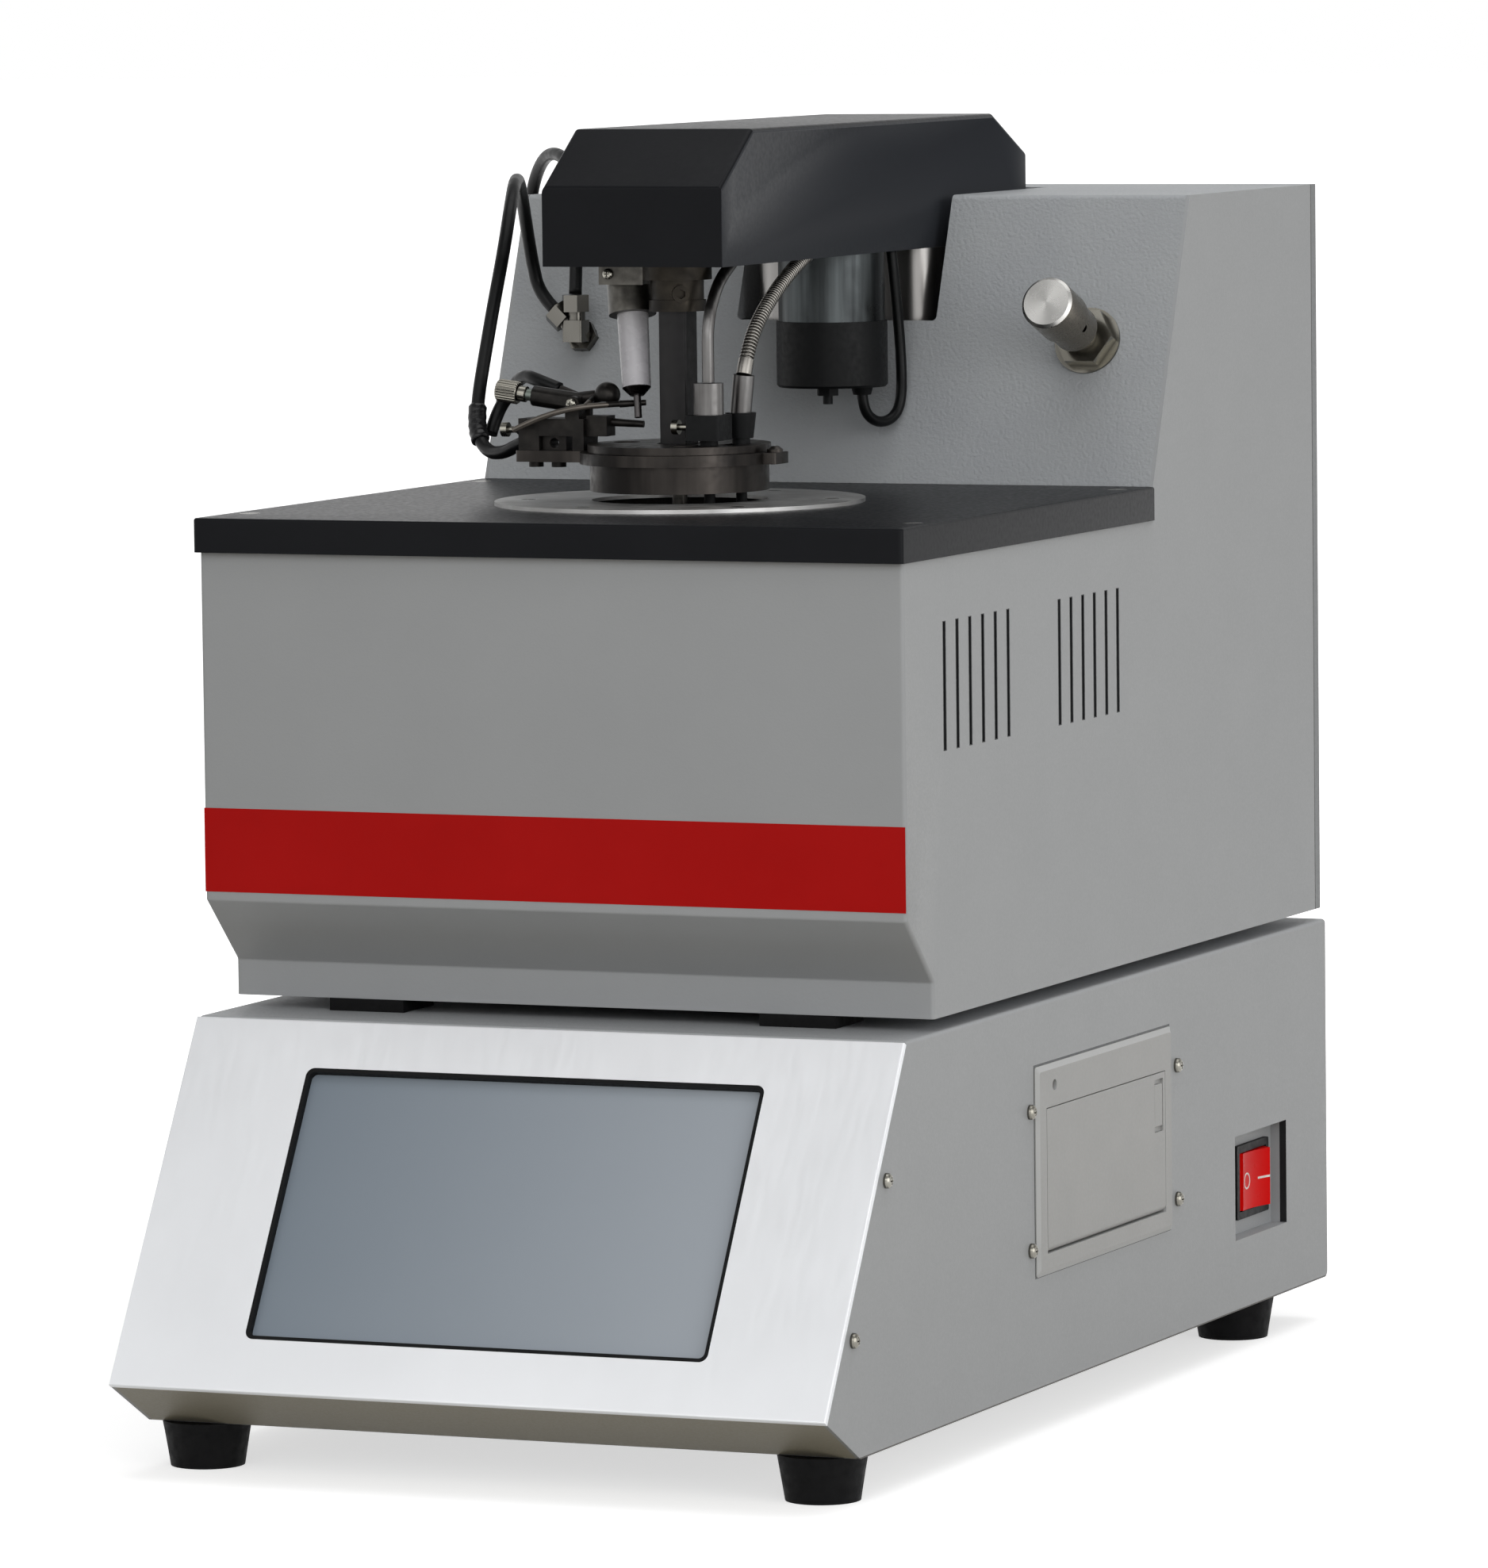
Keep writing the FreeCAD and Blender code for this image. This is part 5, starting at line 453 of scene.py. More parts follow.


# Touch screen: a glass sheet over an unlit grey panel, in a black moulded frame pressed in from behind.
# A thin black lining on the walls of the front panel's window is painted shade, for their shadow.
panel_depth, panel_height, panel_top = 81.9, 134.3, 171.0
panel_turn = math.atan2(panel_height, panel_depth)


def on_panel(x, up, out):
    # a point on the slanting panel: across, up the slope, and out of its face
    return metres(x, up * math.cos(panel_turn) - out * math.sin(panel_turn),
                  up * math.sin(panel_turn) + out * math.cos(panel_turn) + panel_top - panel_height)


def rounded_rectangle(x0, x1, y0, y1, radius, steps=6):
    points = []
    for cx, cy, start in ((x1 - radius, y1 - radius, 0), (x0 + radius, y1 - radius, 90),
                          (x0 + radius, y0 + radius, 180), (x1 - radius, y0 + radius, 270)):
        for k in range(steps + 1):
            angle = math.radians(start + 90 * k / steps)
            points.append((cx + radius * math.cos(angle), cy + radius * math.sin(angle)))
    return points


def ring_solid(outer, inner, low, high, place):
    # a closed ring between two outlines with as many points
    return skinned([[place(x, y, out) for x, y in outline] for outline, out in (
        (outer, low), (outer, high), (inner, high), (inner, low))], ring=True)


black_moulding = finish("black_moulding", (17, 18, 19), tones=((15, 16, 17), (20, 21, 22), 60.0),
                        gloss=(0.42, 0.58, 500.0), pits=(0.00004, 0.4, 1500.0), roughness=0.5,
                        Specular_IOR_Level=0.12)
dress(black_moulding, "screen_module")
window = rounded_rectangle(-96.95, 96.95, 22.05, 136.95, 3.4)
shade_lining_opening = rounded_rectangle(-95.4, 95.4, 23.6, 135.4, 2.4)
# painted shade: the black lining stands for the shadow on the window's walls
fit(solid("screen_gasket", *ring_solid(window, shade_lining_opening, -2.9, -0.15, on_panel)),
    "housing", mat=black_moulding)
screen_glass = surface("screen_glass", (130, 140, 149), roughness=0.16, Specular_IOR_Level=0.3)
# painted reflection: the screen's colour grows lighter towards its right
screen_reflection_across = spread(screen_glass, parts_of_place(screen_glass)["X"], 0.0, 1.0, -0.1, 0.1)
vary_colour(screen_glass, screen_reflection_across, (128, 139, 150), (168, 175, 183), 0.0, 1.0)
feed(shader_input(screen_glass, "Roughness"), spread(screen_glass, grain(screen_glass, 40.0), 0.14, 0.2))
dress(screen_glass, "screen_glass")


# Electronics on the console's floor: a green board with its parts and a power supply in bent sheet
# steel, on posts and screws. The floor plate of the upper housing is of the same plated sheet.
board_green = finish("board_green", (22, 84, 48), tones=((16, 66, 38), (34, 104, 62), 220.0),
                     pits=(0.0001, 0.3, 400.0), edges=(0.45, 0.55), roughness=0.45)
dress(board_green, "control_board")
plated_sheet = finish("plated_sheet", (176, 178, 180), tones=((166, 168, 170), (186, 188, 190), 18.0),
                      gloss=(0.3, 0.5, 30.0), metallic=1.0, roughness=0.38)
dress(plated_sheet, "power_supply", "body_base")


# Rubber feet under the console, the flat pads between the housings and the hose's grommet: moulded
# black rubber, screwed or pressed in.
foot_rubber = finish("foot_rubber", (13, 13, 14), tones=((11, 11, 12), (16, 16, 17), 70.0),
                     gloss=(0.5, 0.72, 300.0), pits=(0.00008, 0.5, 900.0), roughness=0.62,
                     Specular_IOR_Level=0.1)
dress(foot_rubber, "rubber_parts")


# Printer in the right side: a grey moulded frame with a chamfer, a hinged door with a finger latch and
# a small lamp hole, held by four pan screws. Behind the door lie a black tray and the paper roll.
def lathe(profile, sides, base, way):
    # a turned solid: pairs of radius and height along an axis, from pole to pole
    way = Vector(way).normalized()
    side = way.orthogonal().normalized()
    other = way.cross(side)
    verts, rings, faces = [], [], []
    for radius, height in profile:
        centre = Vector(base) + way * height
        count = sides if radius else 1
        rings.append([len(verts) + k % count for k in range(sides)])
        verts += [centre + side * u + other * v for u, v in circle(0, 0, radius, count)]
    for low, high in zip(rings, rings[1:]):
        for k in range(sides):
            n = (k + 1) % sides
            faces.append(tuple(dict.fromkeys((low[k], low[n], high[n], high[k]))))
    return verts, faces


def rectangle(x0, x1, y0, y1):
    return [(x0, y0), (x1, y0), (x1, y1), (x0, y1)]


def cut_away(obj, tool):
    # takes one solid out of another and keeps the outcome as a plain mesh
    modifier = obj.modifiers.new("cut", "BOOLEAN")
    modifier.operation = "DIFFERENCE"
    modifier.solver = "EXACT"
    modifier.object = tool
    obj.data = plain_mesh(obj)
    obj.modifiers.clear()
    bpy.data.objects.remove(tool)


def grey_moulding(name):
    return finish(name, (166, 166, 165), tones=((164, 164, 163), (168, 168, 167), 40.0),
                  gloss=(0.4, 0.54, 700.0), pits=(0.00003, 0.4, 1100.0), roughness=0.44,
                  Specular_IOR_Level=0.35)


printer_shell = grey_moulding("printer_shell")
printer_edge = grey_moulding("printer_edge")
# painted highlight: the frame's chamfer is painted lighter than the rest
rim_chamfer_highlight = region(printer_edge, X=(0.15042, 0.15158))
paint_where(printer_edge, rim_chamfer_highlight, (184, 185, 185))
dress(printer_shell, "printer_door")
rim_y0, rim_y1, rim_z0, rim_z1, rim_corner = -0.062, 0.088, 0.0624, 0.1459, 0.0012
rim_steps = ((0.146, 0.0055), (0.150, 0.0055), (0.150, 0.0), (0.1504, 0.0), (0.1516, 0.0022))
rim_loops = [[(x, y, z) for y, z in rounded_rectangle(
    rim_y0 + inset, rim_y1 - inset, rim_z0 + inset, rim_z1 - inset, rim_corner, 3)]
    for x, inset in rim_steps]
printer_rim = solid("printer_rim", *skinned(rim_loops))
doorway = [[(x, y, z) for y, z in rectangle(-0.053, 0.079, 0.0709, 0.1289)] for x in (0.140, 0.160)]
cut_away(printer_rim, solid("doorway", *skinned(doorway)))
lamp_hole, lamp_hole_radius, lamp_hole_depth = (0.140, -0.044, 0.1372), 0.0022, 0.02
lamp_profile = [(0, 0), (lamp_hole_radius, 0), (lamp_hole_radius, lamp_hole_depth), (0, lamp_hole_depth)]
cut_away(printer_rim, solid("lamp_hole", *lathe(lamp_profile, 32, lamp_hole, (1, 0, 0))))
fit(printer_rim, "housing", "printer_frame", printer_edge)
latch_y0, latch_y1, latch_z0, latch_z1 = 0.0669, 0.0759, 0.1066, 0.1240
latch_loops = [[(x, y, z) for y, z in rectangle(
    latch_y0 + inset, latch_y1 - inset, latch_z0 + inset, latch_z1 - inset)]
    for x, inset in ((0.1501, 0.0), (0.1512, 0.0), (0.1515, 0.0004))]
fit(solid("door_latch", *skinned(latch_loops)), "printer_lid", mat=printer_shell)
dress(black_moulding, "printer_tray")
paper_white = finish("paper_white", (240, 239, 235), tones=((236, 235, 230), (244, 243, 240), 80.0),
                     pits=(0.00005, 0.5, 300.0, (1.0, 0.02, 1.0)), roughness=0.85)
dress(paper_white, "paper_roll")


# Power switch: a black snap-in body and a glossy red rocker on a pivot. Its scooped face has the usual
# ring and bar moulded in white, a little proud of the red.
red_gloss = finish("red_gloss", (224, 3, 1), tones=((220, 3, 1), (228, 5, 3), 50.0),
                   gloss=(0.26, 0.34, 200.0), roughness=0.3, Specular_IOR_Level=0.04)
dress(black_moulding, "switch_body")
dress(red_gloss, "switch_rocker")
rocker_pivot_x, rocker_middle_y, rocker_middle_z = 138.0, 477.0, 69.25
rocker_tilt = math.radians(7.0)
scoop_radius, scoop_floor = 62.0, 145.9
mark_root, mark_face = -0.15, 0.08


def on_rocker(along, up, out):
    # a point on the scooped face of the tilted rocker: along its length, up, and proud of it
    reach = scoop_floor + scoop_radius - math.sqrt(scoop_radius ** 2 - along ** 2) + out - rocker_pivot_x
    return metres(rocker_pivot_x + reach * math.cos(rocker_tilt) + along * math.sin(rocker_tilt),
                  rocker_middle_y - reach * math.sin(rocker_tilt) + along * math.cos(rocker_tilt),
                  rocker_middle_z + up)


mark_white = finish("mark_white", (232, 226, 222), tones=((226, 220, 216), (238, 232, 228), 300.0),
                    roughness=0.4)
ring_centre, bar_start, bar_length, bar_half, bar_steps = -7.6, 3.2, 9.0, 0.45, 8
mark_verts, mark_faces = ring_solid(circle(ring_centre, 0, 3.5, 48), circle(ring_centre, 0, 2.8, 48),
                                    mark_root, mark_face, on_rocker)
bar_verts, bar_faces = skinned([[on_rocker(bar_start + bar_length * k / bar_steps, up, out)
                                 for up, out in rectangle(-bar_half, bar_half, mark_root, mark_face)]
                                for k in range(bar_steps + 1)])
mark_faces += [tuple(len(mark_verts) + corner for corner in face) for face in bar_faces]
fit(solid("rocker_marks", mark_verts + bar_verts, mark_faces), "power_rocker",
    mat=mark_white)


# Appliance inlet at the rear: a socket moulded in black with three plated pins, snapped into the
# console's rear wall.
dress(black_moulding, "power_inlet")


# Screws: pan heads with a cross recess on the panels and small ones on the head, and countersunk ones
# in the work plate and the ring. All are nickel-plated steel.
def painted_corner_shade(mat, dark, reach=0.003):
    # painted shade: darker metal in the corners and creases, by ambient occlusion
    base = shader_input(mat, "Base Color")
    corner = add(mat, "ShaderNodeAmbientOcclusion", {"Distance": reach}, samples=8).outputs["AO"]
    mix = add(mat, "ShaderNodeMix", {"Factor": corner, "A": linear(*dark), "B": base.links[0].from_socket},
              data_type="RGBA")
    feed(base, mix.outputs["Result"])


def nickel_plate(name, colour, dark, light, corner_shade):
    mat = finish(name, colour, tones=(dark, light, 50.0, even, 1.0), gloss=(0.2, 0.28, 90.0),
                 metallic=1.0, roughness=0.24)
    # painted shade in the corners of the plated metal
    painted_corner_shade(mat, corner_shade)
    return mat


bright_nickel = nickel_plate("bright_nickel", (138, 135, 126), (134, 131, 122), (148, 146, 138),
                             corner_shade=(48, 46, 42))


def grown(name, seed, tree, sizes):
    # runs a node tree on a seed mesh and keeps the outcome as a plain mesh
    obj = bpy.data.objects.new(name, seed)
    scene.collection.objects.link(obj)
    modifier = obj.modifiers.new(tree.name, "NODES")
    modifier.node_group = tree
    for item in tree.interface.items_tree:
        if item.in_out == "INPUT" and item.name in sizes:
            modifier[item.identifier] = sizes[item.name]
    obj.data = plain_mesh(obj)
    obj.modifiers.clear()
    obj.data.name = name
    return obj


def end_tree(tree, geometry, material, way_out):
    # makes instances real and gives them their finish, as the last steps of a tree
    real = add(tree, "GeometryNodeRealizeInstances", {"Geometry": geometry}).outputs["Geometry"]
    feed(way_out, add(tree, "GeometryNodeSetMaterial", {
        "Geometry": real, "Material": material}).outputs["Geometry"])


def cross_head(name, size):
    # a domed screw head with a cross recess, standing on the origin
    profile = [(0, -0.0010), (0.0029, -0.0010), (0.0030, 0.0), (0.0030, 0.0009), (0.00275, 0.0017),
               (0.0021, 0.0023), (0.0012, 0.0026), (0, 0.0027)]
    dome = solid(name, *lathe([(r * size, h * size) for r, h in profile], 32, (0, 0, 0), (0, 0, 1)))
    half, reach, floor_z, top_z = (length * size for length in (0.00036, 0.0017, 0.0013, 0.0031))
    taper = 0.5
    cross = [(reach, -half), (reach, half), (half, half), (half, reach), (-half, reach),
             (-half, half), (-reach, half), (-reach, -half), (-half, -half), (-half, -reach),
             (half, -reach), (half, -half)]
    cut_away(dome, solid("cross", *skinned([[(x * taper, y * taper, floor_z) for x, y in cross],
                                            [(x, y, top_z) for x, y in cross]])))
    return dome


fasteners, screws_in, screws_out = geometry_tree(
    "fasteners", {"Head": ("Object", None), "Finish": ("Material", None)})
screw_way = add(fasteners, "GeometryNodeInputNamedAttribute", {"Name": "way"}, data_type="FLOAT_VECTOR")
screw_turn = add(fasteners, "FunctionNodeAlignRotationToVector", {
    "Vector": screw_way.outputs["Attribute"]}, axis="Z").outputs["Rotation"]
screw_head = add(fasteners, "GeometryNodeObjectInfo", {"Object": screws_in["Head"]}).outputs["Geometry"]
screws_set = add(fasteners, "GeometryNodeInstanceOnPoints", {
    "Points": screws_in["Geometry"], "Instance": screw_head, "Rotation": screw_turn})
end_tree(fasteners, screws_set.outputs["Instances"], screws_in["Finish"], screws_out)


def set_screws(name, places, size, body, stands_for=None):
    seed = bpy.data.meshes.new(name + "_seed")
    seed.from_pydata([place for place, way in places], [], [])
    ways = seed.attributes.new("way", "FLOAT_VECTOR", "POINT")
    ways.data.foreach_set("vector", [c for place, way in places for c in way])
    dome = cross_head(name + "_head", size)
    screws = grown(name, seed, fasteners, {"Head": dome, "Finish": bright_nickel})
    bpy.data.objects.remove(dome)
    for polygon in screws.data.polygons:
        polygon.use_smooth = False
    fit(screws, body, stands_for)


side_x, rear_y, panel_screws = 0.150, 0.276, ((-0.2502, 0.0640), (-0.2158, 0.1204))
screw_places = [((side * side_x, y, z), (side, 0, 0)) for y, z in panel_screws for side in (-1, 1)]
screw_places += [((side_x, y, z), (1, 0, 0)) for y in (-0.067, 0.096) for z in (0.0739, 0.1289)]
screw_places += [((x, rear_y, z), (0, 1, 0)) for x in (-0.13875, 0.13875) for z in (0.185, 0.3295, 0.474)]
set_screws("pan_head_screws", screw_places, 1.0, "housing", "pan_screws")
head_places = [((-0.0435, -0.0665, 0.4058), (0, -1, 0)), ((-0.0268, -0.0665, 0.4575), (0, -1, 0))]
set_screws("small_head_screws", head_places, 0.72, "lift_head")
dress(bright_nickel, "flat_screws")


# Upper housing: a folded shell with a lip and a chamfer at the front and vent slots in its sides, under
# the same coat, closed by a flat rear panel. Darker lines in the coat stand for the shadows in the slots
# and in front of the rear panel. A red stripe is stuck on across the front.
vented_coat = powder_coat("grey_vented_coat")
shell_place = parts_of_place(vented_coat)
shell_side = maths(vented_coat, "ABSOLUTE", shell_place["X"])
slot_walls = all_of(vented_coat, within(vented_coat, shell_side, 0.1400, 0.14872),
                    region(vented_coat, Y=(-0.182, 0.05), Z=(0.24, 0.34)))
paint_where(vented_coat, slot_walls, (26, 27, 29))
shell_outside = within(vented_coat, shell_side, 0.1484, 0.1500)
slot_half, slot_end, slot_low, slot_high, slots_between = 0.00172, 0.0018, 0.2782, 0.3283, 5
for first_slot, pitch in ((-0.1484, 0.013262), (-0.02721, 0.01282)):
    past_first = maths(vented_coat, "SUBTRACT", shell_place["Y"], first_slot)
    from_slot = maths(vented_coat, "PINGPONG", past_first, pitch / 2)
    slot_edges = all_of(
        vented_coat, shell_outside,
        within(vented_coat, past_first, -slot_end, slots_between * pitch + slot_end),
        within(vented_coat, from_slot, -0.001, slot_half), region(vented_coat, Z=(slot_low, slot_high)))
    paint_where(vented_coat, slot_edges, (36, 37, 39))
rear_lines = (((0.2680, 0.2740), (128, 130, 132)), ((0.2671, 0.2680), (66, 67, 69)))
for span, colour in rear_lines:
    paint_where(vented_coat, all_of(vented_coat, shell_outside, region(vented_coat, Y=span)), colour)
dress(vented_coat, "body_shell")
dress(powder_coat("grey_powder_coat"), "rear_panel")
stripe_red = finish("stripe_red", (177, 10, 8), tones=((175, 9, 7), (180, 13, 11), 30.0),
                    gloss=(0.34, 0.42, 300.0), roughness=0.38, Specular_IOR_Level=0.1)
stripe_low, stripe_high, stripe_half, stripe_thickness = 0.2195, 0.2525, 0.1486, 0.00012
shell_front = 0.0887 - depth_middle / 1000
stripe_loops = [[(x, y, z) for x, z in rectangle(-stripe_half, stripe_half, stripe_low, stripe_high)]
                for y in (shell_front, shell_front - stripe_thickness)]
fit(solid("front_stripe", *skinned(stripe_loops)), "housing", mat=stripe_red)


# Cooling fan behind the rear panel's slots: a frame and a rotor with seven blades, both moulded in
# black, screwed to the panel from inside.
dress(black_moulding, "fan_frame", "fan_rotor")


# Work plate: a thick steel plate under a satin black coat, screwed down on the shell. A thin turned
# steel ring is screwed on it round the cup's well.
def satin_coat(name):
    return finish(name, (20, 21, 24), tones=((19, 20, 23), (22, 23, 26), 30.0), gloss=(0.3, 0.4, 500.0),
                  pits=(0.00003, 0.5, 1400.0), roughness=0.34, Specular_IOR_Level=0.07)


satin_black = satin_coat("satin_black")
dress(satin_black, "work_plate")
head_axis_y = -0.0595


def turned_marks(mat, depth):
    # the fine rings of a lathe tool about the head's upright axis
    mapping = add(mat, "ShaderNodeMapping", {"Vector": object_place(mat),
                                             "Location": (0.0, -head_axis_y, 0.0)})
    wave = add(mat, "ShaderNodeTexWave", {"Vector": mapping.outputs["Vector"], "Scale": 300.0,
                                          "Distortion": 0.4}, wave_type="RINGS", rings_direction="Z")
    emboss(mat, wave.outputs["Fac"], depth, 0.5)


turned_steel = finish("turned_steel", (180, 179, 177), tones=((174, 173, 171), (212, 212, 211), 40.0),
                      gloss=(0.28, 0.42, 120.0), metallic=1.0, roughness=0.34)
turned_marks(turned_steel, 0.00003)
dress(turned_steel, "bath_ring")


# Heating bath under the plate: a cast block with the cup's well, painted near black as shade in the well,
# and a band heater clamped round it. The lift's carriage and the motor's pulley are plain grey castings.
cast_grey = finish("cast_grey", (150, 150, 150), tones=((136, 136, 136), (166, 166, 165), 80.0),
                   gloss=(0.42, 0.6, 200.0), pits=(0.00008, 0.5, 700.0), metallic=0.9, roughness=0.5)
dress(cast_grey, "lift_carriage", "motor_pulley")
# painted shade: the block's near black colour stands for the shade in the cup's well
well_shade_black = finish("well_shade_black", (30, 29, 28), tones=((24, 23, 22), (38, 36, 35), 60.0),
                     gloss=(0.5, 0.7, 160.0), pits=(0.00008, 0.5, 700.0), metallic=0.3, roughness=0.6,
                     Specular_IOR_Level=0.15)
dress(well_shade_black, "heating_bath")
dress(plated_sheet, "bath_heater")


# Tower: a folded steel cover that closes the raised rear of the shell, with the arm's slot in its top.
# Its coat is coarser than the shell's, with an orange-peel surface.
dress(powder_coat("grey_orange_peel", (155, 158, 161), (160, 163, 165), 700.0, 0.0005), "tower_cover")


# Gas fittings on the tower: a nickel-plated brass tee with union nuts, and a needle valve with a long
# knob of turned steel, whose end face is spun in rings.
tee_nickel = nickel_plate("tee_nickel", (100, 98, 92), (98, 96, 91), (112, 110, 105), corner_shade=(40, 38, 35))
dress(tee_nickel, "tee_fitting")
dress(bright_nickel, "valve_body")
spun_steel = finish("spun_steel", (184, 183, 180), tones=((178, 177, 174), (188, 187, 184), 60.0),
                    gloss=(0.24, 0.32, 300.0), metallic=1.0, roughness=0.28, Anisotropic=0.75)
valve_foot, valve_way, knob_barrel_length = (0.1125, 0.1003, 0.4242), (0.0, -0.9328, 0.3603), 0.0484
from_foot = add(spun_steel, "ShaderNodeVectorMath", {0: object_place(spun_steel), 1: valve_foot},
                operation="SUBTRACT").outputs[0]
along_knob = add(spun_steel, "ShaderNodeVectorMath", {0: from_foot, 1: valve_way},
                 operation="DOT_PRODUCT").outputs["Value"]
round_knob = add(spun_steel, "ShaderNodeVectorMath", {0: from_foot, 1: valve_way},
                 operation="CROSS_PRODUCT").outputs[0]
paint_where(spun_steel, within(spun_steel, along_knob, -0.1, knob_barrel_length), (124, 118, 108))
feed(shader_input(spun_steel, "Tangent"),
     add(spun_steel, "ShaderNodeVectorMath", {0: round_knob}, operation="NORMALIZE").outputs[0])
dress(spun_steel, "valve_knob")


# Lift: guide rods, a tubular actuator and the rounded stainless sleeve that carries the arm, clamped in
# the foot block on the floor plate. All three are drawn bright, so their grain runs upright.
stainless = finish("stainless", (132, 130, 128),
                   tones=((120, 118, 116), (158, 156, 154), 60.0, (1.0, 1.0, 0.1)),
                   gloss=(0.22, 0.4, 160.0, (1.0, 1.0, 0.03)),
                   pits=(0.00002, 0.4, 500.0, (1.0, 1.0, 0.02)), metallic=1.0, roughness=0.3)
dress(stainless, "lift_guide", "lift_actuator", "lift_sleeve")


# Arm: a folded cover screwed on a flat base plate, both steel under a satin black coat. The cover's
# right side is painted a little paler, as a painted sheen.
arm_black = satin_coat("arm_black")
# painted sheen: the cover's right side is painted paler
arm_right_side_sheen = region(arm_black, X=(0.0383, 0.0390))
paint_where(arm_black, arm_right_side_sheen, (43, 45, 49))
dress(arm_black, "arm_cover")
dress(satin_black, "arm_base")


# Stirrer motor under the arm: a bright drawn can with a black moulded housing below it, and a rubber
# belt inside the arm that drives the stirrer's pulley.
# painted reflections: dark and light upright streaks in the can's colour
zinc_can = finish("zinc_can", (92, 97, 98), tones=((26, 27, 28), (76, 80, 81), 150.0, (1.0, 1.0, 0.06)),
                  gloss=(0.26, 0.42, 90.0), metallic=1.0, roughness=0.34)
dress(zinc_can, "motor_can")
dress(black_moulding, "motor_cap")
dress(foot_rubber, "drive_belt")


# Head: a bronzed flange under the arm, a blackened square column, and the dark lid with its ears, skirt
# and turning shutter. The lid and the shutter are turned and browned, with painted upright reflections.
flange_bronze = finish("flange_bronze", (92, 84, 66), tones=((27, 25, 23), (46, 42, 36), 90.0, even, 5.0),
                       gloss=(0.34, 0.55, 200.0), metallic=0.9, roughness=0.42)
dress(flange_bronze, "head_flange")
column_black = finish("column_black", (42, 38, 34),
                      tones=((20, 19, 20), (32, 31, 31), 120.0, (1.0, 1.0, 0.1)),
                      gloss=(0.34, 0.52, 200.0), metallic=0.7, roughness=0.42)
dress(column_black, "drive_column")
# painted reflections: light and dark upright streaks in the browned steel's colour
browned_steel = finish("browned_steel", (60, 56, 53),
                       tones=((28, 26, 25), (64, 60, 57), 60.0, (1.0, 1.0, 0.1), 4.0),
                       gloss=(0.28, 0.5, 220.0), edges=(0.35, 0.68), metallic=0.9, roughness=0.38)
turned_marks(browned_steel, 0.00002)
dress(browned_steel, "lid_plate", "shutter_disc")


# Sensors on the lid: black moulded holders, each with a turned aluminium cap, and the bent sheathed
# tube of the temperature sensor, which goes up into the arm.
dress(black_moulding, "sensor_blocks")
turned_aluminium = finish("turned_aluminium", (96, 94, 93),
                          tones=((80, 78, 77), (110, 109, 108), 300.0, (1.0, 1.0, 0.06)),
                          gloss=(0.28, 0.42, 300.0), metallic=1.0, roughness=0.34)
dress(turned_aluminium, "sensor_caps", "sensor_tube")


# Armoured hose of the flash sensor: a spiral of profiled stainless strip whose edges hook together,
# so it shows close rounded ribs, with a plain crimped ferrule at each end.
armour_line = smooth_line("armoured_hose", [
    (26.6, 222.5, 417.5), (26.9, 224.3, 423.6), (27.4, 231.0, 434.4), (28.0, 242.0, 443.6),
    (28.5, 257.5, 452.6), (28.9, 274.5, 460.0), (29.1, 285.5, 463.9)])
armour_tree, hose_in, hose_out = geometry_tree("armoured_hose", {
    "Ribs": ("Int", 50), "Rib radius": ("Float", 0.00248), "Rib thickness": ("Float", 0.0005),
    "Core radius": ("Float", 0.0022), "Ferrule radius": ("Float", 0.0031),
    "Ferrule share": ("Float", 0.075), "Steel": ("Material", None)})
hose_curve = add(armour_tree, "GeometryNodeMeshToCurve", {"Mesh": hose_in["Geometry"]}).outputs["Curve"]
ferrule_share = hose_in["Ferrule share"]
upper_ferrule = maths(armour_tree, "SUBTRACT", 1.0, ferrule_share)


def hose_stretch(start, end):
    # part of the hose's line, between two shares of its length
    return add(armour_tree, "GeometryNodeTrimCurve", {"Curve": hose_curve, "Start": start, "End": end},
               mode="FACTOR").outputs["Curve"]


def round_along(line, radius, sides, **settings):
    profile = add(armour_tree, "GeometryNodeCurvePrimitiveCircle", {"Resolution": sides, "Radius": radius})
    return add(armour_tree, "GeometryNodeCurveToMesh", {
        "Curve": line, "Profile Curve": profile.outputs["Curve"], **settings}).outputs["Mesh"]


rib_places = add(armour_tree, "GeometryNodeCurveToPoints", {
    "Curve": hose_stretch(ferrule_share, upper_ferrule), "Count": hose_in["Ribs"]}, mode="COUNT").outputs
rib_ring = add(armour_tree, "GeometryNodeCurvePrimitiveCircle", {
    "Resolution": 24, "Radius": hose_in["Rib radius"]}).outputs["Curve"]
ribs = add(armour_tree, "GeometryNodeInstanceOnPoints", {
    "Points": rib_places["Points"], "Instance": round_along(rib_ring, hose_in["Rib thickness"], 8),
    "Rotation": rib_places["Rotation"]}).outputs["Instances"]
hose_join = add(armour_tree, "GeometryNodeJoinGeometry")
for start, end, radius_name in ((0.0, 1.0, "Core radius"), (0.0, ferrule_share, "Ferrule radius"),
                                (upper_ferrule, 1.0, "Ferrule radius")):
    feed(hose_join.inputs["Geometry"],
         round_along(hose_stretch(start, end), hose_in[radius_name], 24, **{"Fill Caps": True}))
feed(hose_join.inputs["Geometry"], ribs)
hose_real = add(armour_tree, "GeometryNodeRealizeInstances", {"Geometry": hose_join.outputs["Geometry"]})
hose_smooth = add(armour_tree, "GeometryNodeSetShadeSmooth", {"Geometry": hose_real.outputs["Geometry"]})
end_tree(armour_tree, hose_smooth.outputs["Geometry"], hose_in["Steel"], hose_out)
armour_seed = bpy.data.meshes.new("armour_seed")
armour_seed.from_pydata(armour_line, [(k, k + 1) for k in range(len(armour_line) - 1)], [])
armour_steel = finish("armour_steel", (142, 137, 130), tones=((130, 127, 122), (144, 141, 136), 200.0),
                      gloss=(0.24, 0.38, 400.0), metallic=1.0, roughness=0.26)
fit(grown("armoured_hose_ribs", armour_seed, armour_tree, {"Steel": armour_steel}),
    "lift_head", "armoured_hose")


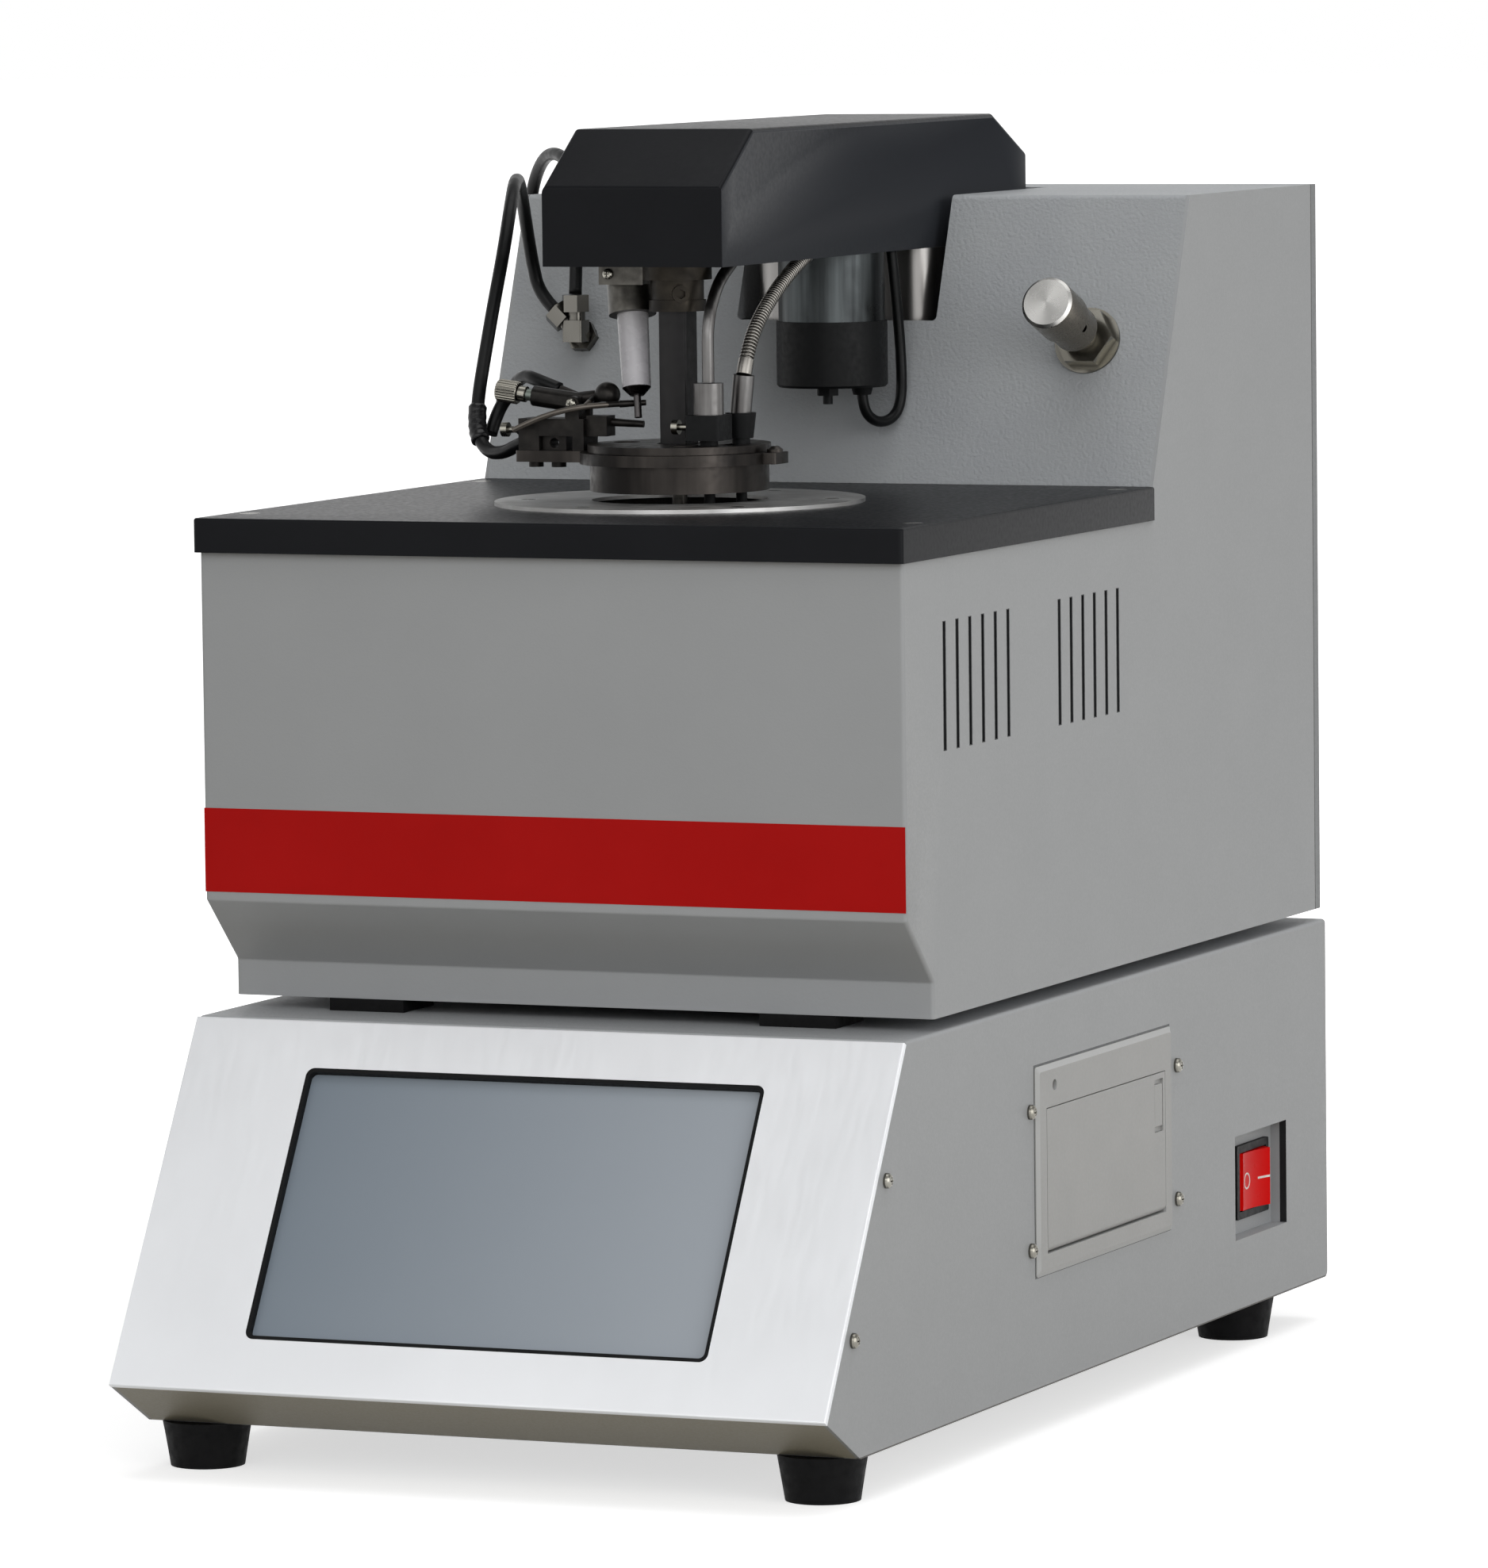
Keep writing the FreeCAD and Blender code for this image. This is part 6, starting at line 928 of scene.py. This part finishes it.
# Igniter: a steel clamp and clip on the flange hold a tube of white glazed ceramic, whose electrode
# comes out below through a dark metal tip. The stirrer in the cup is of the same dark steel.
clamp_steel = finish("clamp_steel", (74, 72, 68), tones=((58, 56, 53), (92, 90, 85), 160.0),
                     gloss=(0.3, 0.46, 300.0), metallic=0.95, roughness=0.36)
dress(clamp_steel, "igniter_holder", "stirrer")
white_glaze = finish("white_glaze", (200, 198, 203), tones=((182, 180, 185), (194, 192, 196), 90.0),
                     gloss=(0.2, 0.34, 200.0), roughness=0.25, Specular_IOR_Level=0.5)
igniter_top, igniter_way = Vector((-0.0225, -0.0535, 0.4477)), Vector((0.1495, -0.2309, -1.0)).normalized()
glaze_length = 0.0368
along_igniter = add(white_glaze, "ShaderNodeVectorMath", {0: object_place(white_glaze), 1: igniter_way},
                    operation="DOT_PRODUCT").outputs["Value"]
past_glaze = maths(white_glaze, "GREATER_THAN", along_igniter, igniter_top.dot(igniter_way) + glaze_length)
paint_where(white_glaze, past_glaze, (64, 62, 62))
feed(shader_input(white_glaze, "Metallic"), past_glaze)
dress(white_glaze, "igniter_tube")


# Test burner: a browned bracket screwed to the lid's ear and a tilting body with a bright gas pipe in
# front and a grey-green seal. Its needle knob is turned, fluted and plated, as the thumbscrews are.
def burner_finish(name, roughness, low, high):
    return finish(name, (34, 32, 31), tones=((27, 26, 25), (42, 40, 38), 160.0), gloss=(low, high, 300.0),
                  metallic=0.7, roughness=roughness, Specular_IOR_Level=0.2)


dress(burner_finish("burner_black", 0.4, 0.34, 0.52), "burner_bracket")
pipe_and_body = burner_finish("pipe_and_body", 0.36, 0.28, 0.44)
pipe_from_y, seal_from_x = -0.0665, -0.0632
body_place = parts_of_place(pipe_and_body)
pipe_front = maths(pipe_and_body, "LESS_THAN", body_place["Y"], pipe_from_y)
seal_zone = maths(pipe_and_body, "LESS_THAN", body_place["X"], seal_from_x)
paint_where(pipe_and_body, pipe_front, (96, 91, 85))
paint_where(pipe_and_body, maths(pipe_and_body, "SUBTRACT", seal_zone, pipe_front, use_clamp=True),
            (112, 120, 113))
dress(pipe_and_body, "burner_body")
flute_tree, rim_in, rim_out = geometry_tree("fluted_rim", {
    "Flutes": ("Float", None), "Depth": ("Float", None), "Finish": ("Material", None)})
rim_parts = add(flute_tree, "ShaderNodeSeparateXYZ", {
    0: add(flute_tree, "GeometryNodeInputPosition").outputs[0]}).outputs
rim_angle = maths(flute_tree, "ARCTAN2", rim_parts["Y"], rim_parts["X"])
rim_wave = maths(flute_tree, "COSINE", maths(flute_tree, "MULTIPLY", rim_angle, rim_in["Flutes"]))
rim_depth = maths(flute_tree, "MULTIPLY", maths(flute_tree, "SUBTRACT", rim_wave, 1.0), rim_in["Depth"])
rim_mask = add(flute_tree, "GeometryNodeInputNamedAttribute", {"Name": "fluted"}, data_type="FLOAT")
rim_flat = add(flute_tree, "ShaderNodeCombineXYZ", {"X": rim_parts["X"], "Y": rim_parts["Y"]}).outputs[0]
rim_outward = add(flute_tree, "ShaderNodeVectorMath", {0: rim_flat}, operation="NORMALIZE").outputs[0]
rim_shift = add(flute_tree, "ShaderNodeVectorMath", {
    0: rim_outward, "Scale": maths(flute_tree, "MULTIPLY", rim_depth, rim_mask.outputs["Attribute"])},
    operation="SCALE").outputs[0]
rim_set = add(flute_tree, "GeometryNodeSetPosition", {"Geometry": rim_in["Geometry"], "Offset": rim_shift})
end_tree(flute_tree, rim_set.outputs["Geometry"], rim_in["Finish"], rim_out)
knob_neck = Vector((-0.063, -0.0595, 0.4085))
knob_way = Vector((-19.5, 0.0, 2.7)).normalized()
knob_profile = [(0, 0.0031), (0.0028, 0.0031), (0.0032, 0.0034), (0.0032, 0.0064), (0.0028, 0.0067),
                (0.0041, 0.0067), (0.0046, 0.0072), (0.0046, 0.0152), (0.0041, 0.0158), (0.0024, 0.0158),
                (0.0021, 0.0155), (0, 0.0155)]
fluted_beyond, flute_count, flute_depth = 0.0043, 24.0, 0.00016
knob_base = solid("knob_base", *lathe(knob_profile, 192, (0, 0, 0), (0, 0, 1)))
knob_mesh = knob_base.data
bpy.data.objects.remove(knob_base)
knob_mesh.attributes.new("fluted", "FLOAT", "POINT").data.foreach_set(
    "value", [float(math.hypot(v.co.x, v.co.y) > fluted_beyond) for v in knob_mesh.vertices])
burner_knob = grown("needle_knob", knob_mesh, flute_tree,
                    {"Flutes": flute_count, "Depth": flute_depth, "Finish": bright_nickel})
knob_turn = knob_way.to_track_quat("Z", "Y").to_matrix().to_4x4()
burner_knob.data.transform(Matrix.Translation(knob_neck) @ knob_turn)
fit(burner_knob, "needle_knob", "burner_knob")
dress(bright_nickel, "bracket_screw", "sensor_screw")
